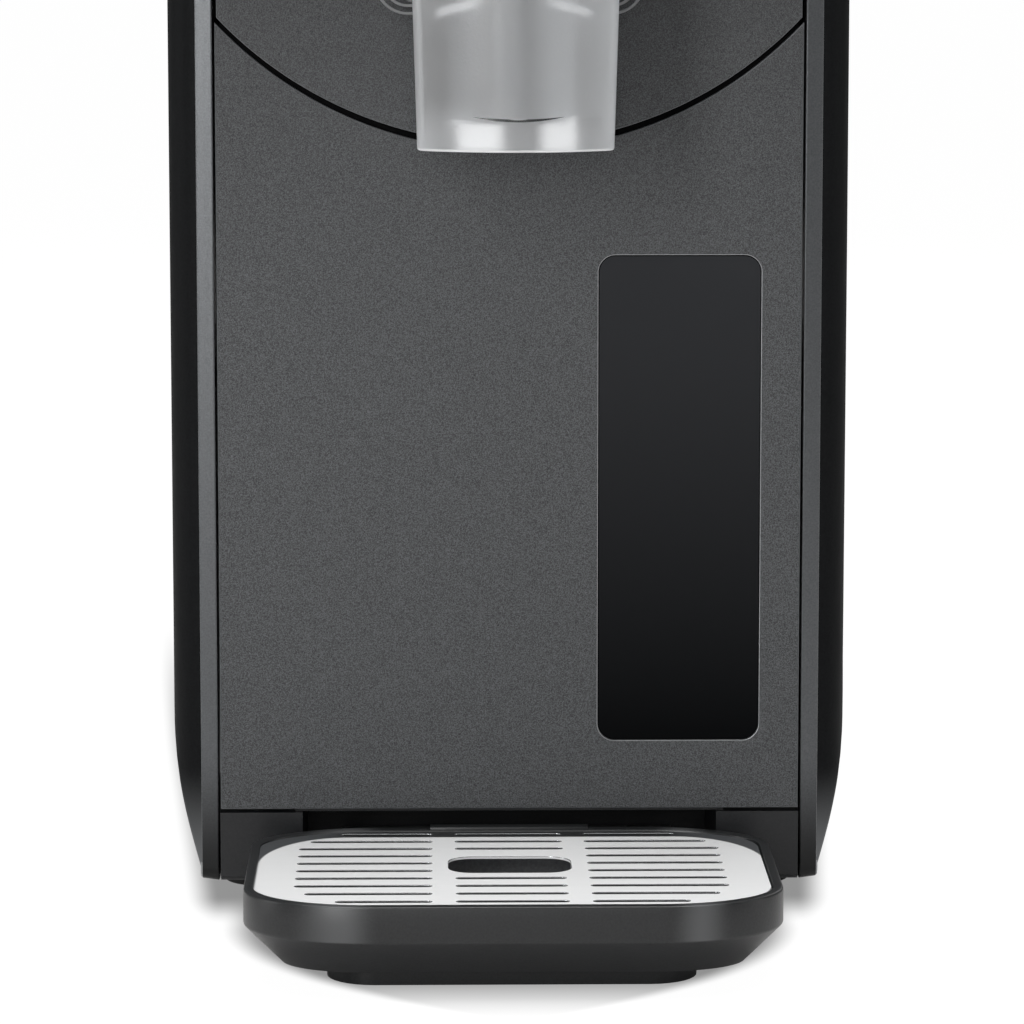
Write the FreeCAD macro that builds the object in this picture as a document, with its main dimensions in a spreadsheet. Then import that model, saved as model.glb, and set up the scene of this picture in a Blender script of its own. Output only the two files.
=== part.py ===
import FreeCAD, Part
import Sketcher
import math
import os
import re

# Home slush machine: two side frames carry the front, a tower and a clear tank over a cold drum.
# Millimetres, +Z up, front towards -Y. The origin is the middle of the footprint, on the table.

doc = FreeCAD.newDocument("slush_machine")
dims = doc.addObject("Spreadsheet::Sheet", "dims")

SIZES = {
    # housing
    "body_depth": (300, "front face of the panel to the rear face"),
    "tray_reach": (96.5, "how far the drip tray stands in front of the panel"),
    "base_z": (8.5, "underside of the housing above the table"),
    "deck_drop": (4, "top of the low front part below the drum axis"),
    "body_z": (430, "top of the tower"),
    "tower_y": (192, "front face of the tower behind the panel face"),
    "frame_in": (76.3, "half the space between the side frames"),
    "frame_wall": (4.4, "thickness of a side frame"),
    "cheek": (7.6, "how far a side panel bulges out of its frame"),
    "cheek_wall": (2.2, "wall of a side panel"),
    "cheek_inset": (0.6, "step from the frame's edge to the side panel"),
    "cheek_roll": (11.5, "how far a side panel's edge rolls in from its outline"),
    "cheek_foot": (1.5, "side panel's lower edge above the underside"),
    "cheek_lean": (3.6, "rise of a side panel's foot for each millimetre outwards"),
    "cheek_sweep": (19, "extra rise where the foot rounds into the side"),
    "nose_round": (4, "rounding of the lower front edge"),
    "brow_round": (14, "rounding of the upper front edge"),
    "tower_round": (12, "rounding of the tower's top edges"),
    "step_round": (30, "hollow rounding between deck and tower"),
    "tail_round": (8, "rounding of the lower rear edge"),
    "seat": (0.2, "gap between fixed housing parts"),
    # front panel and the cover above it
    "panel_side": (0.6, "front panel from the side frame"),
    "panel_low": (27.6, "lower edge of the front panel"),
    "panel_wall": (2.2, "wall of the moulded front parts"),
    "panel_rim": (12, "depth of the rim behind the front parts"),
    "seam_r": (103.5, "radius of the curved seam"),
    "seam_rise": (1.7, "centre of the seam circle above the drum axis"),
    "seam": (1.9, "height of the curved seam"),
    "cover_side": (1.1, "cover over the seam from the side frame"),
    "glass_x": (44.1, "middle of the touch glass"),
    "glass_w": (42.2, "width of the touch glass"),
    "glass_low": (46.2, "lower edge of the touch glass"),
    "glass_drop": (130.5, "top of the touch glass below the drum axis"),
    "glass_r": (4.4, "corner radius of the touch glass"),
    "glass_t": (2, "thickness of the touch glass"),
    "glass_gap": (0.25, "gap round the touch glass"),
    "board_t": (1.6, "thickness of a circuit board"),
    # plinth, base and feet
    "plinth_side": (0.4, "plinth, base pan and rear cover from the side frame"),
    "plinth_y": (62, "depth of the plinth"),
    "plinth_gap": (0.6, "gap between panel and plinth"),
    "recess_half": (54.3, "half width of the recess for the drip tray"),
    "notch_side": (2.5, "how much wider the panel's notch is than the recess"),
    "recess_y": (50, "depth of the recess for the drip tray"),
    "pan_t": (2.5, "thickness of base pan and recess roof"),
    "foot_r": (10.5, "radius of a foot"),
    "foot_x": (66.5, "feet from the middle plane"),
    "foot_front_y": (44, "front feet behind the panel face"),
    "foot_rear": (28, "rear feet ahead of the rear face"),
    # drip tray and grille
    "tray_half": (67, "half width of the drip tray"),
    "tray_rear": (1, "gap between drip tray and panel face"),
    "tray_low": (5, "underside of the drip tray's bowl"),
    "tray_top": (23.8, "rim of the drip tray"),
    "tray_round": (24, "corner radius of the drip tray"),
    "tray_bevel": (9.5, "width of the bevel under the tray's band"),
    "tray_floor": (2.5, "floor thickness of the drip tray"),
    "rim_tab_half": (20.9, "half width of the raised middle of the rear rim"),
    "rim_tab_rise": (0.5, "how far the middle of the rear rim is raised"),
    "tray_foot_half": (46.2, "half width of the tray's foot"),
    "tray_foot_front": (19, "tray's foot behind the tray's front"),
    "tray_foot_y": (64, "depth of the tray's foot"),
    "tongue_half": (45, "half width of the tongue that slides under the housing"),
    "tongue_t": (3.5, "thickness of the tongue"),
    "tongue_low": (9.8, "underside of the tongue"),
    "grille_half": (64.1, "half width of the grille"),
    "grille_front": (93, "front edge of the grille ahead of the panel face"),
    "grille_rear": (5.5, "rear edge of the grille ahead of the panel face"),
    "grille_t": (1.5, "sheet thickness of the grille"),
    "grille_low": (21.5, "underside of the grille"),
    "grille_r": (21.5, "corner radius of the grille"),
    "grille_gap": (0.5, "gap round the grille"),
    "ledge": (3, "width of the ledge under the grille"),
    "slot_w": (2.3, "width of a slot"),
    "slot_pitch": (8.83, "distance from slot to slot"),
    "slot_first": (8.9, "first slot ahead of the panel face"),
    "slot_rows": (10, "number of slot rows"),
    "slot_in": (20, "inner end of the side slots"),
    "slot_out": (54, "outer end of the side slots"),
    "slot_mid": (14, "half length of the middle slots"),
    "hole_half": (15.6, "half length of the finger hole"),
    "hole_w": (19.5, "width of the finger hole"),
    "hole_y": (46, "finger hole ahead of the panel face"),
    # tank
    "tank_rise": (98, "top of the tank above the drum axis"),
    "tank_side": (10.3, "gap between tank and side frame"),
    "tank_wall": (2.5, "wall of the tank"),
    "tank_round": (26, "top corner radius of the tank"),
    "tank_front": (3, "tank front ahead of the panel face"),
    "tank_edge": (4, "rounding of the tank's front edge"),
    "seal_room": (4, "room for the seal between tank and tower"),
    "cradle_gap": (3.5, "gap between tank and trough"),
    "cradle_wall": (2.5, "wall of the trough"),
    "rail_x": (20, "tank rails from the middle plane"),
    "rail_w": (5, "width of a tank rail"),
    "rest_gap": (0.3, "gap between a lift-off piece and its rest"),
    "tongue_rise": (1.6, "tank's locking tongue above the tank's top"),
    "hook_half": (8, "half width of the tank's locking tongue"),
    "hook_t": (3.4, "thickness of the tank's locking tongue"),
    "hook_long": (30, "reach of the locking tongue into the tower"),
    "hook_root": (8, "length of the tongue's root on the tank"),
    "hook_gap": (1, "gap round the locking tongue"),
    "fill_half": (26, "half width of the fill opening"),
    "fill_front": (22, "front edge of the fill opening"),
    "fill_y": (60, "length of the fill opening"),
    "lid_lip": (4, "overhang of the lid round the opening"),
    "lid_t": (5, "thickness of the lid"),
    "lid_plug": (4, "depth of the lid's plug"),
    "lid_seal_t": (1.2, "thickness of the lid seal"),
    "hinge_pin_r": (1.5, "radius of the lid hinge pin"),
    "hinge_r": (3.6, "radius of the lid knuckle"),
    "hinge_back": (8, "lid hinge axis behind the opening"),
    "ear_in": (18, "inner face of the lid hinge ears"),
    "ear_t": (5, "thickness of a lid hinge ear"),
    "pin_gap": (0.08, "running clearance on a pin"),
    # tap
    "apron_half": (33.5, "half width of the clear apron behind the spout"),
    "apron_drop": (4, "apron's lower edge beyond the tank's"),
    "apron_t": (4, "thickness of the apron"),
    "apron_rise": (2, "top of the apron above the drum axis"),
    "apron_round": (6, "corner radius of the apron"),
    "tap_y": (42, "tap axis ahead of the panel face"),
    "tube_r": (15.5, "outer radius of the valve tube"),
    "tube_bore": (13, "bore radius of the valve tube"),
    "tube_drop": (93.5, "lower end of the valve tube below the drum axis"),
    "tube_rise": (10, "upper end of the valve tube above the drum axis"),
    "port_drop": (60, "passage's lower edge below the drum axis"),
    "port_tall": (20, "height of the passage from the tank"),
    "port_half": (12, "half width of the passage from the tank"),
    "port_wall": (2.5, "wall of the passage"),
    "plunger_drop": (64, "lower face of the plunger below the drum axis"),
    "plunger_tall": (30, "length of the valve plunger"),
    "plunger_gap": (0.35, "gap between plunger and tube"),
    "stem_r": (4, "radius of the plunger stem"),
    "stem_rise": (34, "top of the plunger stem above the drum axis"),
    "ring_r": (1.4, "radius of a sealing ring's section"),
    "spring_gap": (0.5, "gap round the valve spring"),
    "spring_wire": (2.5, "depth of the valve spring's coil"),
    "cap_r": (19, "outer radius of the tap cap"),
    "cap_drop": (35, "lower edge of the tap cap below the drum axis"),
    "cap_t": (6, "thickness of the cap's top"),
    "cap_gap": (0.1, "gap between cap and tube"),
    "spout_drop": (100.5, "lower edge of the spout cover below the drum axis"),
    "spout_tall": (62.5, "height of the spout cover"),
    "spout_half_low": (24.3, "half width of the spout cover at the bottom"),
    "spout_half_top": (26.2, "half width of the spout cover at the top"),
    "spout_front": (62, "spout cover ahead of the panel face"),
    "spout_wall": (2.6, "wall of the spout cover"),
    "spout_bow": (36, "plan radius of the spout's front"),
    "spout_round": (4, "rounding of the spout's upright edges"),
    "pivot_y": (18, "lever pivot ahead of the panel face"),
    "pivot_rise": (30, "lever pivot above the drum axis"),
    "pivot_r": (2.5, "radius of the lever pin"),
    "pivot_eye": (6.5, "radius of the lever's hub"),
    "lever_half": (8.5, "half width of the lever's arm"),
    "lever_arm": (7, "thickness of the lever's arm"),
    "paddle_half": (17, "half width of the lever's paddle"),
    "paddle_t": (8, "thickness of the lever's paddle"),
    "paddle_drop": (48, "lower end of the lever's paddle below the drum axis"),
    "paddle_gap": (5, "gap between cap and paddle"),
    "paddle_edge": (3, "rounding of the paddle"),
    "bracket_t": (4, "thickness of a lever bracket ear"),
    # cold drum, auger and drive
    "drum_r": (40, "radius of the cold drum"),
    "drum_wall": (1.2, "wall of the cold drum"),
    "drum_front": (14, "front face of the cold drum"),
    "drum_flange_r": (46, "radius of the drum's flange"),
    "drum_flange_t": (3, "thickness of the drum's flange"),
    "shaft_r": (6, "radius of the drive shaft"),
    "shaft_gap": (0.08, "running clearance of the shaft"),
    "press_gap": (0.02, "gap between the shaft and what is fixed on it"),
    "sleeve_wall": (2.8, "wall of the drum's inner sleeve"),
    "blade_in": (41, "inner radius of the auger blade"),
    "blade_gap": (1.2, "gap between auger blade and tank"),
    "blade_t": (3.6, "thickness of the auger blade"),
    "blade_pitch": (44, "pitch of the auger blade"),
    "auger_front": (5.5, "front of the auger"),
    "auger_tail": (4, "rear of the auger ahead of the tank's rear edge"),
    "auger_hub_r": (15, "radius of the auger's hub"),
    "auger_hub_t": (7, "thickness of the auger's front spider"),
    "auger_bar": (5.5, "section of the auger's long bars"),
    "bar_inset": (0.3, "auger's bars inside the blade's outer edge"),
    "wall_t": (2.5, "thickness of tower wall, seal and bracket"),
    "gearbox_half": (27, "half width of the gearbox"),
    "gearbox_y": (26, "depth of the gearbox"),
    "motor_r": (27, "radius of the drive motor"),
    "motor_room": (12, "gap between drive motor and rear cover"),
    "motor_boss": (4, "length of the boss on the drive motor's end"),
    # cooling
    "comp_x": (22, "compressor from the middle plane"),
    "comp_room": (17, "gap between compressor and rear cover"),
    "comp_r": (44, "radius of the compressor"),
    "comp_low": (19, "underside of the compressor shell"),
    "comp_tall": (112, "height of the compressor shell"),
    "comp_plate": (44, "half width of the compressor's foot plate"),
    "grommet_r": (6, "radius of a rubber grommet"),
    "cond_y": (66, "front of the condenser"),
    "cond_long": (110, "length of the condenser"),
    "cond_t": (22, "thickness of the condenser"),
    "cond_tall": (130, "height of the condenser"),
    "cond_gap": (2, "condenser from the side frame"),
    "fin_pitch": (10, "distance between fin packs"),
    "fin_slot": (4, "air gap between fin packs"),
    "fin_deep": (8, "depth of the fin gaps"),
    "fan_r": (46, "radius of the fan"),
    "fan_hub_r": (14, "radius of the fan hub"),
    "fan_t": (12, "depth of the fan"),
    "fan_gap": (2.5, "gap round the fan"),
    "fan_blades": (7, "number of fan blades"),
    "blade_sheet": (1.6, "thickness of a fan blade"),
    "shroud_t": (16, "depth of the fan shroud"),
    "shroud_wall": (2.5, "wall of the fan shroud"),
    "pipe_r": (3, "radius of a refrigerant pipe"),
    "line_drop": (33, "suction line's way through the tower wall below the drum axis"),
    "line_gap": (1, "gap round the suction line"),
    "line_in": (18, "upright run of the suction line behind the tower's front"),
    "line_under": (10, "suction line's turn below the trough"),
    "drier_r": (9, "radius of the filter drier"),
    # rear and electrics
    "rear_t": (3, "thickness of the rear cover"),
    "top_skirt": (22, "height of the tower's top cover"),
    "top_wall": (5, "wall of the tower's top cover"),
    "vent_half": (46, "half length of a rear vent"),
    "vent_w": (4, "width of a vent"),
    "vent_pitch": (10, "distance between vents"),
    "vent_rows": (9, "number of vents in a field"),
    "vent_low": (70, "lowest rear vent"),
    "vent_rise": (170, "upper field of rear vents above the lower one"),
    "side_vent_half": (30, "half length of a side vent"),
    "side_vent_y": (121, "middle of the side vents"),
    "side_vent_low": (64, "lowest side vent"),
    "inlet_x": (-44, "mains inlet from the middle plane"),
    "inlet_z": (40, "height of the mains inlet"),
    "inlet_half": (14, "half width of the mains inlet"),
    "inlet_tall": (10, "half height of the mains inlet"),
    "inlet_deep": (22, "depth of the mains inlet"),
    "inlet_wall": (3, "wall of the mains inlet"),
    "screw_r": (1.8, "radius of a screw"),
    "screw_head_r": (3.4, "radius of a screw head"),
    "screw_head_t": (1.6, "height of a screw head"),
    "screw_long": (12, "length of a screw"),
    "button_r": (9, "radius of the release button"),
    "button_in": (22, "release button behind the tower's front"),
    "button_collar_r": (11, "radius of the button's collar"),
    "button_collar_t": (2.7, "thickness of the button's collar"),
    "button_stem_r": (4, "radius of the button's stem"),
    "stem_clear": (3.4, "gap between the button's stem and the locking tongue"),
    "button_gap": (0.35, "gap round the release button"),
    "shelf_half": (20, "half width of the shelf under the button's spring"),
    "shelf_deep": (37, "rear edge of the shelf behind the tower's front"),
    "shelf_t": (2.8, "thickness of the shelf"),
}

for row, (alias, (size, note)) in enumerate(SIZES.items(), 1):
    dims.set(f"A{row}", note)
    dims.set(f"B{row}", str(size))
    dims.setAlias(f"B{row}", alias)
doc.recompute()

# Places and sizes that follow from those above; a formula that names one of them gets its text.
TIED = {
    # across
    "panel_half": "(frame_in - panel_side)",
    "cover_half": "(frame_in - cover_side)",
    "plinth_half": "(frame_in - plinth_side)",
    "tank_r": "(frame_in - tank_side)",
    "cradle_r": "(tank_r + cradle_gap)",
    "apron_r": "(tank_r + apron_drop)",
    "blade_out": "(tank_r - tank_wall - blade_gap)",
    # heights, from the tower's top down to the tank and its drum
    "top_low": "(body_z - top_skirt)",
    "tank_top": "(top_low - hook_gap - hook_t - tongue_rise)",
    "axis_z": "(tank_top - tank_rise)",
    "deck_z": "(axis_z - deck_drop)",
    "seam_z": "(axis_z + seam_rise)",
    "glass_high": "(axis_z - glass_drop)",
    "apron_top": "(axis_z + apron_rise)",
    "tube_low": "(axis_z - tube_drop)",
    "tube_top": "(axis_z + tube_rise)",
    "port_low": "(axis_z - port_drop)",
    "plunger_low": "(axis_z - plunger_drop)",
    "stem_top": "(axis_z + stem_rise)",
    "cap_low": "(axis_z - cap_drop)",
    "spout_low": "(axis_z - spout_drop)",
    "spout_top": "(spout_low + spout_tall)",
    "pivot_z": "(axis_z + pivot_rise)",
    "paddle_low": "(axis_z - paddle_drop)",
    "line_z": "(axis_z - line_drop)",
    "line_turn": "(axis_z - cradle_r - cradle_wall - line_under)",
    "button_stem_low": "(tank_top + tongue_rise + hook_t + stem_clear)",
    # depths, from the tower's front and the rear face
    "tank_back": "(tower_y - seal_room)",
    "auger_back": "(tank_back - auger_tail)",
    "hook_y": "(tower_y + hook_long)",
    "line_y": "(tower_y + line_in)",
    "button_y": "(tower_y + button_in)",
    "shelf_y": "(tower_y + shelf_deep)",
    "bracket_y": "(tower_y + wall_t)",
    "gearbox_front": "(bracket_y + wall_t)",
    "motor_front": "(gearbox_front + gearbox_y)",
    "rear_face": "(body_depth - rear_t)",
    "motor_y": "(rear_face - motor_room - motor_boss - motor_front)",
    "comp_y": "(rear_face - comp_room - comp_r)",
    "foot_rear_y": "(body_depth - foot_rear)",
}

# Every Y below is counted from the panel's front face; FACE moves it to the middle of the footprint.
FACE = "((tray_reach - body_depth) / 2)"
WORDS = re.compile(r"[a-z][a-z_]+[a-z]")


# Writing formulas and reading their values

def formula(text):
    def named(found):
        word = found.group(0)
        if word in TIED:
            return formula(TIED[word])
        return f"dims.{word}" if word in SIZES else word
    return WORDS.sub(named, str(text))


def value(text):
    return float(dims.evalExpression(formula(text)))


def place(thing, x, y, z):
    for axis, text in (("x", x), ("y", f"{y} + {FACE}"), ("z", z)):
        thing.setExpression(f"Placement.Base.{axis}", formula(text))


# Simple solids

def box(name, x, y, z):
    thing = doc.addObject("Part::Box", name)
    for side, (low, high) in (("Length", x), ("Width", y), ("Height", z)):
        thing.setExpression(side, formula(f"({high}) - ({low})"))
    place(thing, f"({x[0]})", f"({y[0]})", f"({z[0]})")
    return thing


TURNS = {
    "X": FreeCAD.Rotation(FreeCAD.Vector(0, 1, 0), 90),
    "Y": FreeCAD.Rotation(FreeCAD.Vector(1, 0, 0), -90),
    "Z": FreeCAD.Rotation(),
}


def rod(name, axis, radius, start, length):
    thing = doc.addObject("Part::Cylinder", name)
    thing.Placement = FreeCAD.Placement(FreeCAD.Vector(), TURNS[axis])
    thing.setExpression("Radius", formula(radius))
    thing.setExpression("Height", formula(length))
    place(thing, *(f"({part})" for part in start))
    return thing


def ring(name, axis, radius, section, centre):
    thing = doc.addObject("Part::Torus", name)
    thing.Placement = FreeCAD.Placement(FreeCAD.Vector(), TURNS[axis])
    thing.setExpression("Radius1", formula(radius))
    thing.setExpression("Radius2", formula(section))
    place(thing, *(f"({part})" for part in centre))
    return thing


# Joining and cutting solids

def fuse(name, *solids):
    thing = doc.addObject("Part::MultiFuse", name)
    thing.Shapes = list(solids)
    thing.Refine = True
    return thing


def group(name, *solids):
    thing = doc.addObject("Part::Compound", name)
    thing.Links = list(solids)
    return thing


def common(name, first, second):
    thing = doc.addObject("Part::Common", name)
    thing.Base = first
    thing.Tool = second
    return thing


def cut(name, base, *tools):
    thing = doc.addObject("Part::Cut", name)
    thing.Base = base
    thing.Tool = tools[0] if len(tools) == 1 else fuse(f"{name}_cutters", *tools)
    thing.Refine = True
    return thing


def rounded(name, base, radius, chosen):
    doc.recompute()
    size = value(radius)
    thing = doc.addObject("Part::Fillet", name)
    thing.Base = base
    edges = enumerate(base.Shape.Edges, 1)
    thing.Edges = [(number, size, size) for number, edge in edges if chosen(edge)]
    return thing


def round_edge(edge):
    return edge.Curve.TypeId == "Part::GeomCircle"


def straight(edge, axis):
    if edge.Curve.TypeId != "Part::GeomLine":
        return False
    return abs(getattr(edge.Curve.Direction, axis)) > 0.999


# Sketched bodies

PLANES = {"X": "YZ_Plane", "Y": "XZ_Plane", "Z": "XY_Plane"}


def outline(body, normal, corners):
    sketch = body.newObject("Sketcher::SketchObject", f"{body.Name}_outline")
    plane = next(p for p in body.Origin.OriginFeatures if p.Role == PLANES[normal])
    sketch.AttachmentSupport = [(plane, "")]
    sketch.MapMode = "FlatFace"
    points = [FreeCAD.Vector(value(across), value(up), 0) for across, up in corners]
    count = len(points)
    for index, point in enumerate(points):
        sketch.addGeometry(Part.LineSegment(point, points[(index + 1) % count]))
    for index in range(count):
        sketch.addConstraint(Sketcher.Constraint("Coincident", index, 2, (index + 1) % count, 1))
    for index, (across, up) in enumerate(corners):
        for kind, text in (("DistanceX", across), ("DistanceY", up)):
            number = sketch.addConstraint(Sketcher.Constraint(kind, -1, 1, index, 1, value(text)))
            sketch.setExpression(f"Constraints[{number}]", formula(text))
    return sketch


def slab(name, normal, corners, start, thick, rounds=()):
    """A plate across one axis, with its upright corners rounded by their own radii."""
    body = doc.addObject("PartDesign::Body", name)
    sketch = outline(body, normal, corners)
    pad = body.newObject("PartDesign::Pad", f"{name}_pad")
    pad.Profile = sketch
    pad.setExpression("Length", formula(thick))
    pad.Reversed = normal == "Y"
    place(body, *(f"({start})" if axis == normal else "0" for axis in "XYZ"))
    doc.recompute()
    last = pad
    for number, (radius, picked) in enumerate(rounds):
        names = []
        for index, edge in enumerate(last.Shape.Edges, 1):
            middle = edge.CenterOfMass
            across = {"X": (middle.y, middle.z), "Y": (middle.x, middle.z), "Z": (middle.x, middle.y)}
            if not straight(edge, normal.lower()):
                continue
            spots = [(value(corners[pick][0]), value(corners[pick][1])) for pick in picked]
            if any(math.dist(across[normal], spot) < 0.01 for spot in spots):
                names.append(f"Edge{index}")
        fillet = body.newObject("PartDesign::Fillet", f"{name}_round_{number}")
        fillet.Base = (last, names)
        fillet.setExpression("Radius", formula(radius))
        doc.recompute()
        last = fillet
    body.Tip = last
    return body


def plate(name, normal, across, up, start, thick, radius=None):
    corners = [(across[0], up[0]), (across[1], up[0]), (across[1], up[1]), (across[0], up[1])]
    rounds = ((radius, (0, 1, 2, 3)),) if radius else ()
    return slab(name, normal, corners, start, thick, rounds)


def mirrored(name, base):
    thing = doc.addObject("Part::Mirroring", name)
    thing.Source = base
    thing.Normal = FreeCAD.Vector(1, 0, 0)
    return thing


NODES = []


def node(thing, label):
    thing.Label = label
    NODES.append(thing)
    return thing


# Side profile shared by the frames, the side panels and everything between them

def side_corners(inset):
    return [
        (f"{inset}", f"base_z + {inset}"),
        (f"{inset}", f"deck_z - {inset}"),
        (f"tower_y + {inset}", f"deck_z - {inset}"),
        (f"tower_y + {inset}", f"body_z - {inset}"),
        (f"body_depth - {inset}", f"body_z - {inset}"),
        (f"body_depth - {inset}", f"base_z + {inset}"),
    ]


def side_rounds(inset):
    return (
        (f"nose_round - {inset}", (0,)),
        (f"brow_round - {inset}", (1,)),
        (f"step_round + {inset}", (2,)),
        (f"tower_round - {inset}", (3, 4)),
        (f"tail_round - {inset}", (5,)),
    )


def side_slab(name, start, thick, inset="0"):
    return slab(name, "X", side_corners(inset), start, thick, side_rounds(inset))


between = side_slab("between_frames", "-frame_in", "2 * frame_in")


def side_vents(name, x):
    vents = []
    for row in range(int(value("vent_rows"))):
        low = f"side_vent_low + {row} * vent_pitch"
        along = ("side_vent_y - side_vent_half", "side_vent_y + side_vent_half")
        vents.append(box(f"{name}_{row}", x, along, (low, f"{low} + vent_w")))
    return vents


def side_frame(name):
    raw = side_slab(f"{name}_plate", "frame_in", "frame_wall")
    along = ("side_vent_y - side_vent_half", "side_vent_y + side_vent_half")
    tall = ("side_vent_low", "side_vent_low + vent_rows * vent_pitch")
    window = box(f"{name}_window", ("frame_in - 1", "frame_in + frame_wall + 1"), along, tall)
    return cut(name, raw, window)


def rounded_corner(before, corner, after, bend):
    """Start, middle and end of the arc that rounds a corner between two straight runs."""
    back = (before - corner).normalize()
    ahead = (after - corner).normalize()
    half_turn = back.getAngle(ahead) / 2
    away = bend / math.tan(half_turn)
    inward = (back + ahead).normalize()
    middle = corner + inward * (bend / math.sin(half_turn) - bend)
    return corner + back * away, middle, corner + ahead * away


def rounded_loop(corners, bends):
    """A closed wire of straight runs whose corners are rounded, each by its own radius."""
    count = len(corners)
    arcs = [rounded_corner(corners[index - 1], corners[index], corners[(index + 1) % count], bends[index])
            for index in range(count)]
    edges = []
    for index, (start, middle, end) in enumerate(arcs):
        edges.append(Part.Arc(start, middle, end).toShape())
        edges.append(Part.LineSegment(end, arcs[(index + 1) % count][0]).toShape())
    return Part.Wire(edges)


def cheek_section(angle):
    """Outline of the side panel's bulge where its crown has turned by this angle."""
    lean = 1 - math.cos(math.radians(angle))
    out = value("frame_in + frame_wall") + value("cheek") * math.sin(math.radians(angle))
    edge = value("cheek_inset") + value("cheek_roll") * lean
    foot = value("cheek_foot") + value("cheek_lean") * (out - value("frame_in + frame_wall"))
    foot += value("cheek_sweep") * lean ** 2
    face, deck, top = value(FACE), value("deck_z") - edge, value("body_z") - edge
    front, back, low = face + edge, value(f"body_depth + {FACE}") - edge, value("base_z") + foot
    tower = value(f"tower_y + {FACE}") + edge
    spots = [(front, low), (front, deck), (tower, deck), (tower, top), (back, top), (back, low)]
    bends = [value("nose_round"), value("brow_round"), value("step_round"), value("tower_round"),
             value("tower_round"), value("tail_round")]
    bends = [bend * (1 - 0.8 * lean) for bend in bends]
    bends[2] = value("step_round") + edge
    return rounded_loop([FreeCAD.Vector(out, y, z) for y, z in spots], bends)


def cheek_bulge(name):
    """The bulge as a loft through outlines that draw in as they reach outwards."""
    thing = doc.addObject("Part::Feature", name)
    thing.Shape = Part.makeLoft([cheek_section(angle) for angle in (0, 18, 36, 52, 66, 78, 90)], True,
                                False)
    return thing


def side_panel(name):
    """A bulging cover on the frame's outside, tapering in towards the table."""
    inner = "frame_in + frame_wall"
    bulge = cheek_bulge(f"{name}_bulge")
    hollow = slab(f"{name}_hollow", "X", side_corners("(cheek_roll + cheek_wall)"), f"{inner} - 1",
                  "cheek - cheek_wall + 1")
    above = box(f"{name}_above_taper", (f"{inner} - 2", f"{inner} + cheek"), ("0", "body_depth"),
                ("base_z + cheek_foot + cheek_lean * cheek + cheek_sweep + cheek_wall", "body_z"))
    pocket = common(f"{name}_pocket", hollow, above)
    vents = side_vents(f"{name}_vent", (f"{inner} - 1", f"{inner} + cheek + 1"))
    return cut(name, bulge, pocket, *vents)


right_frame = side_frame("right_side_frame")
right_panel = side_panel("right_side_panel")
node(right_frame, "right_side_frame")
node(right_panel, "right_side_panel")
node(mirrored("left_frame", right_frame), "left_side_frame")
node(mirrored("left_panel", right_panel), "left_side_panel")


# Front panel under the curved seam, with the window for the touch glass

def front_shell(name, half, low, high, seam_centre):
    skin = box(f"{name}_skin", (f"-{half}", half), ("0", "panel_rim"), (low, high))
    shrunk = box(f"{name}_inside", (f"-{half} + panel_wall", f"{half} - panel_wall"),
                 ("panel_wall", "panel_rim + 1"), (f"{low} + panel_wall", f"{high} + 1"))
    circle = rod(f"{name}_circle", "Y", "seam_r", ("0", "-1", seam_centre), "panel_rim + 2")
    wide = rod(f"{name}_wide_circle", "Y", "seam_r + panel_wall", ("0", "-1", seam_centre),
               "panel_rim + 2")
    return cut(f"{name}_shell", skin, circle, cut(f"{name}_hollow", shrunk, wide))


glass_left = "glass_x - glass_w / 2"
glass_right = "glass_x + glass_w / 2"
shell = front_shell("front_panel", "panel_half", "panel_low", "seam_z - seam", "seam_z - seam")
window = plate("glass_window", "Y", (glass_left, glass_right), ("glass_low", "glass_high"), "-1",
               "panel_rim", "glass_r")
shelf = box("panel_tray_notch", ("-recess_half - notch_side", "recess_half + notch_side"),
            ("panel_wall", "panel_rim + 1"),
            ("panel_low - 1", "panel_low + panel_wall + 1"))
panel = cut("panel_cut", shell, window, shelf)
node(common("front_panel_fitted", panel, between), "front_panel")

node(plate("touch_glass", "Y", (f"{glass_left} + glass_gap", f"{glass_right} - glass_gap"),
           ("glass_low + glass_gap", "glass_high - glass_gap"), "0.2", "glass_t",
           "glass_r - glass_gap"), "touch_panel")
board_low = "glass_low + 4"
node(fuse("touch_board",
          box("touch_board_plate", (f"{glass_left} + 3", f"{glass_right} - 3"),
              ("glass_t + 0.4", "glass_t + 0.4 + board_t"), (board_low, "glass_high - 4")),
          box("touch_board_plug", (f"{glass_left} + 10", f"{glass_left} + 24"),
              ("glass_t + 0.4 + board_t", "panel_rim"), (f"{board_low} + 4", f"{board_low} + 12"))),
     "control_board")


# Cover between the seam and the tank

def cover_part(name, half, inset, start, extra):
    square = box(f"{name}_square", (f"-{half}", half), (start, f"panel_rim + {extra}"),
                 ("seam_z - seam_r - 1", f"deck_z - seat - {inset}"))
    circle = rod(f"{name}_disc", "Y", f"seam_r - {inset}", ("0", "-1", "seam_z"), "panel_rim + 3")
    trough = rod(f"{name}_trough", "Y", f"cradle_r + {inset}", ("0", "-2", "axis_z"),
                 "panel_rim + 5")
    return cut(f"{name}_ring", common(f"{name}_round", square, circle), trough)


cover = cut("upper_cover", cover_part("cover", "cover_half", "0", "0", "0"),
            cover_part("cover_hollow", "cover_half - panel_wall", "panel_wall", "panel_wall", "1"))
node(common("upper_cover_fitted", cover, between), "upper_front_cover")


# Trough that carries the tank, with two rails

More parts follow.
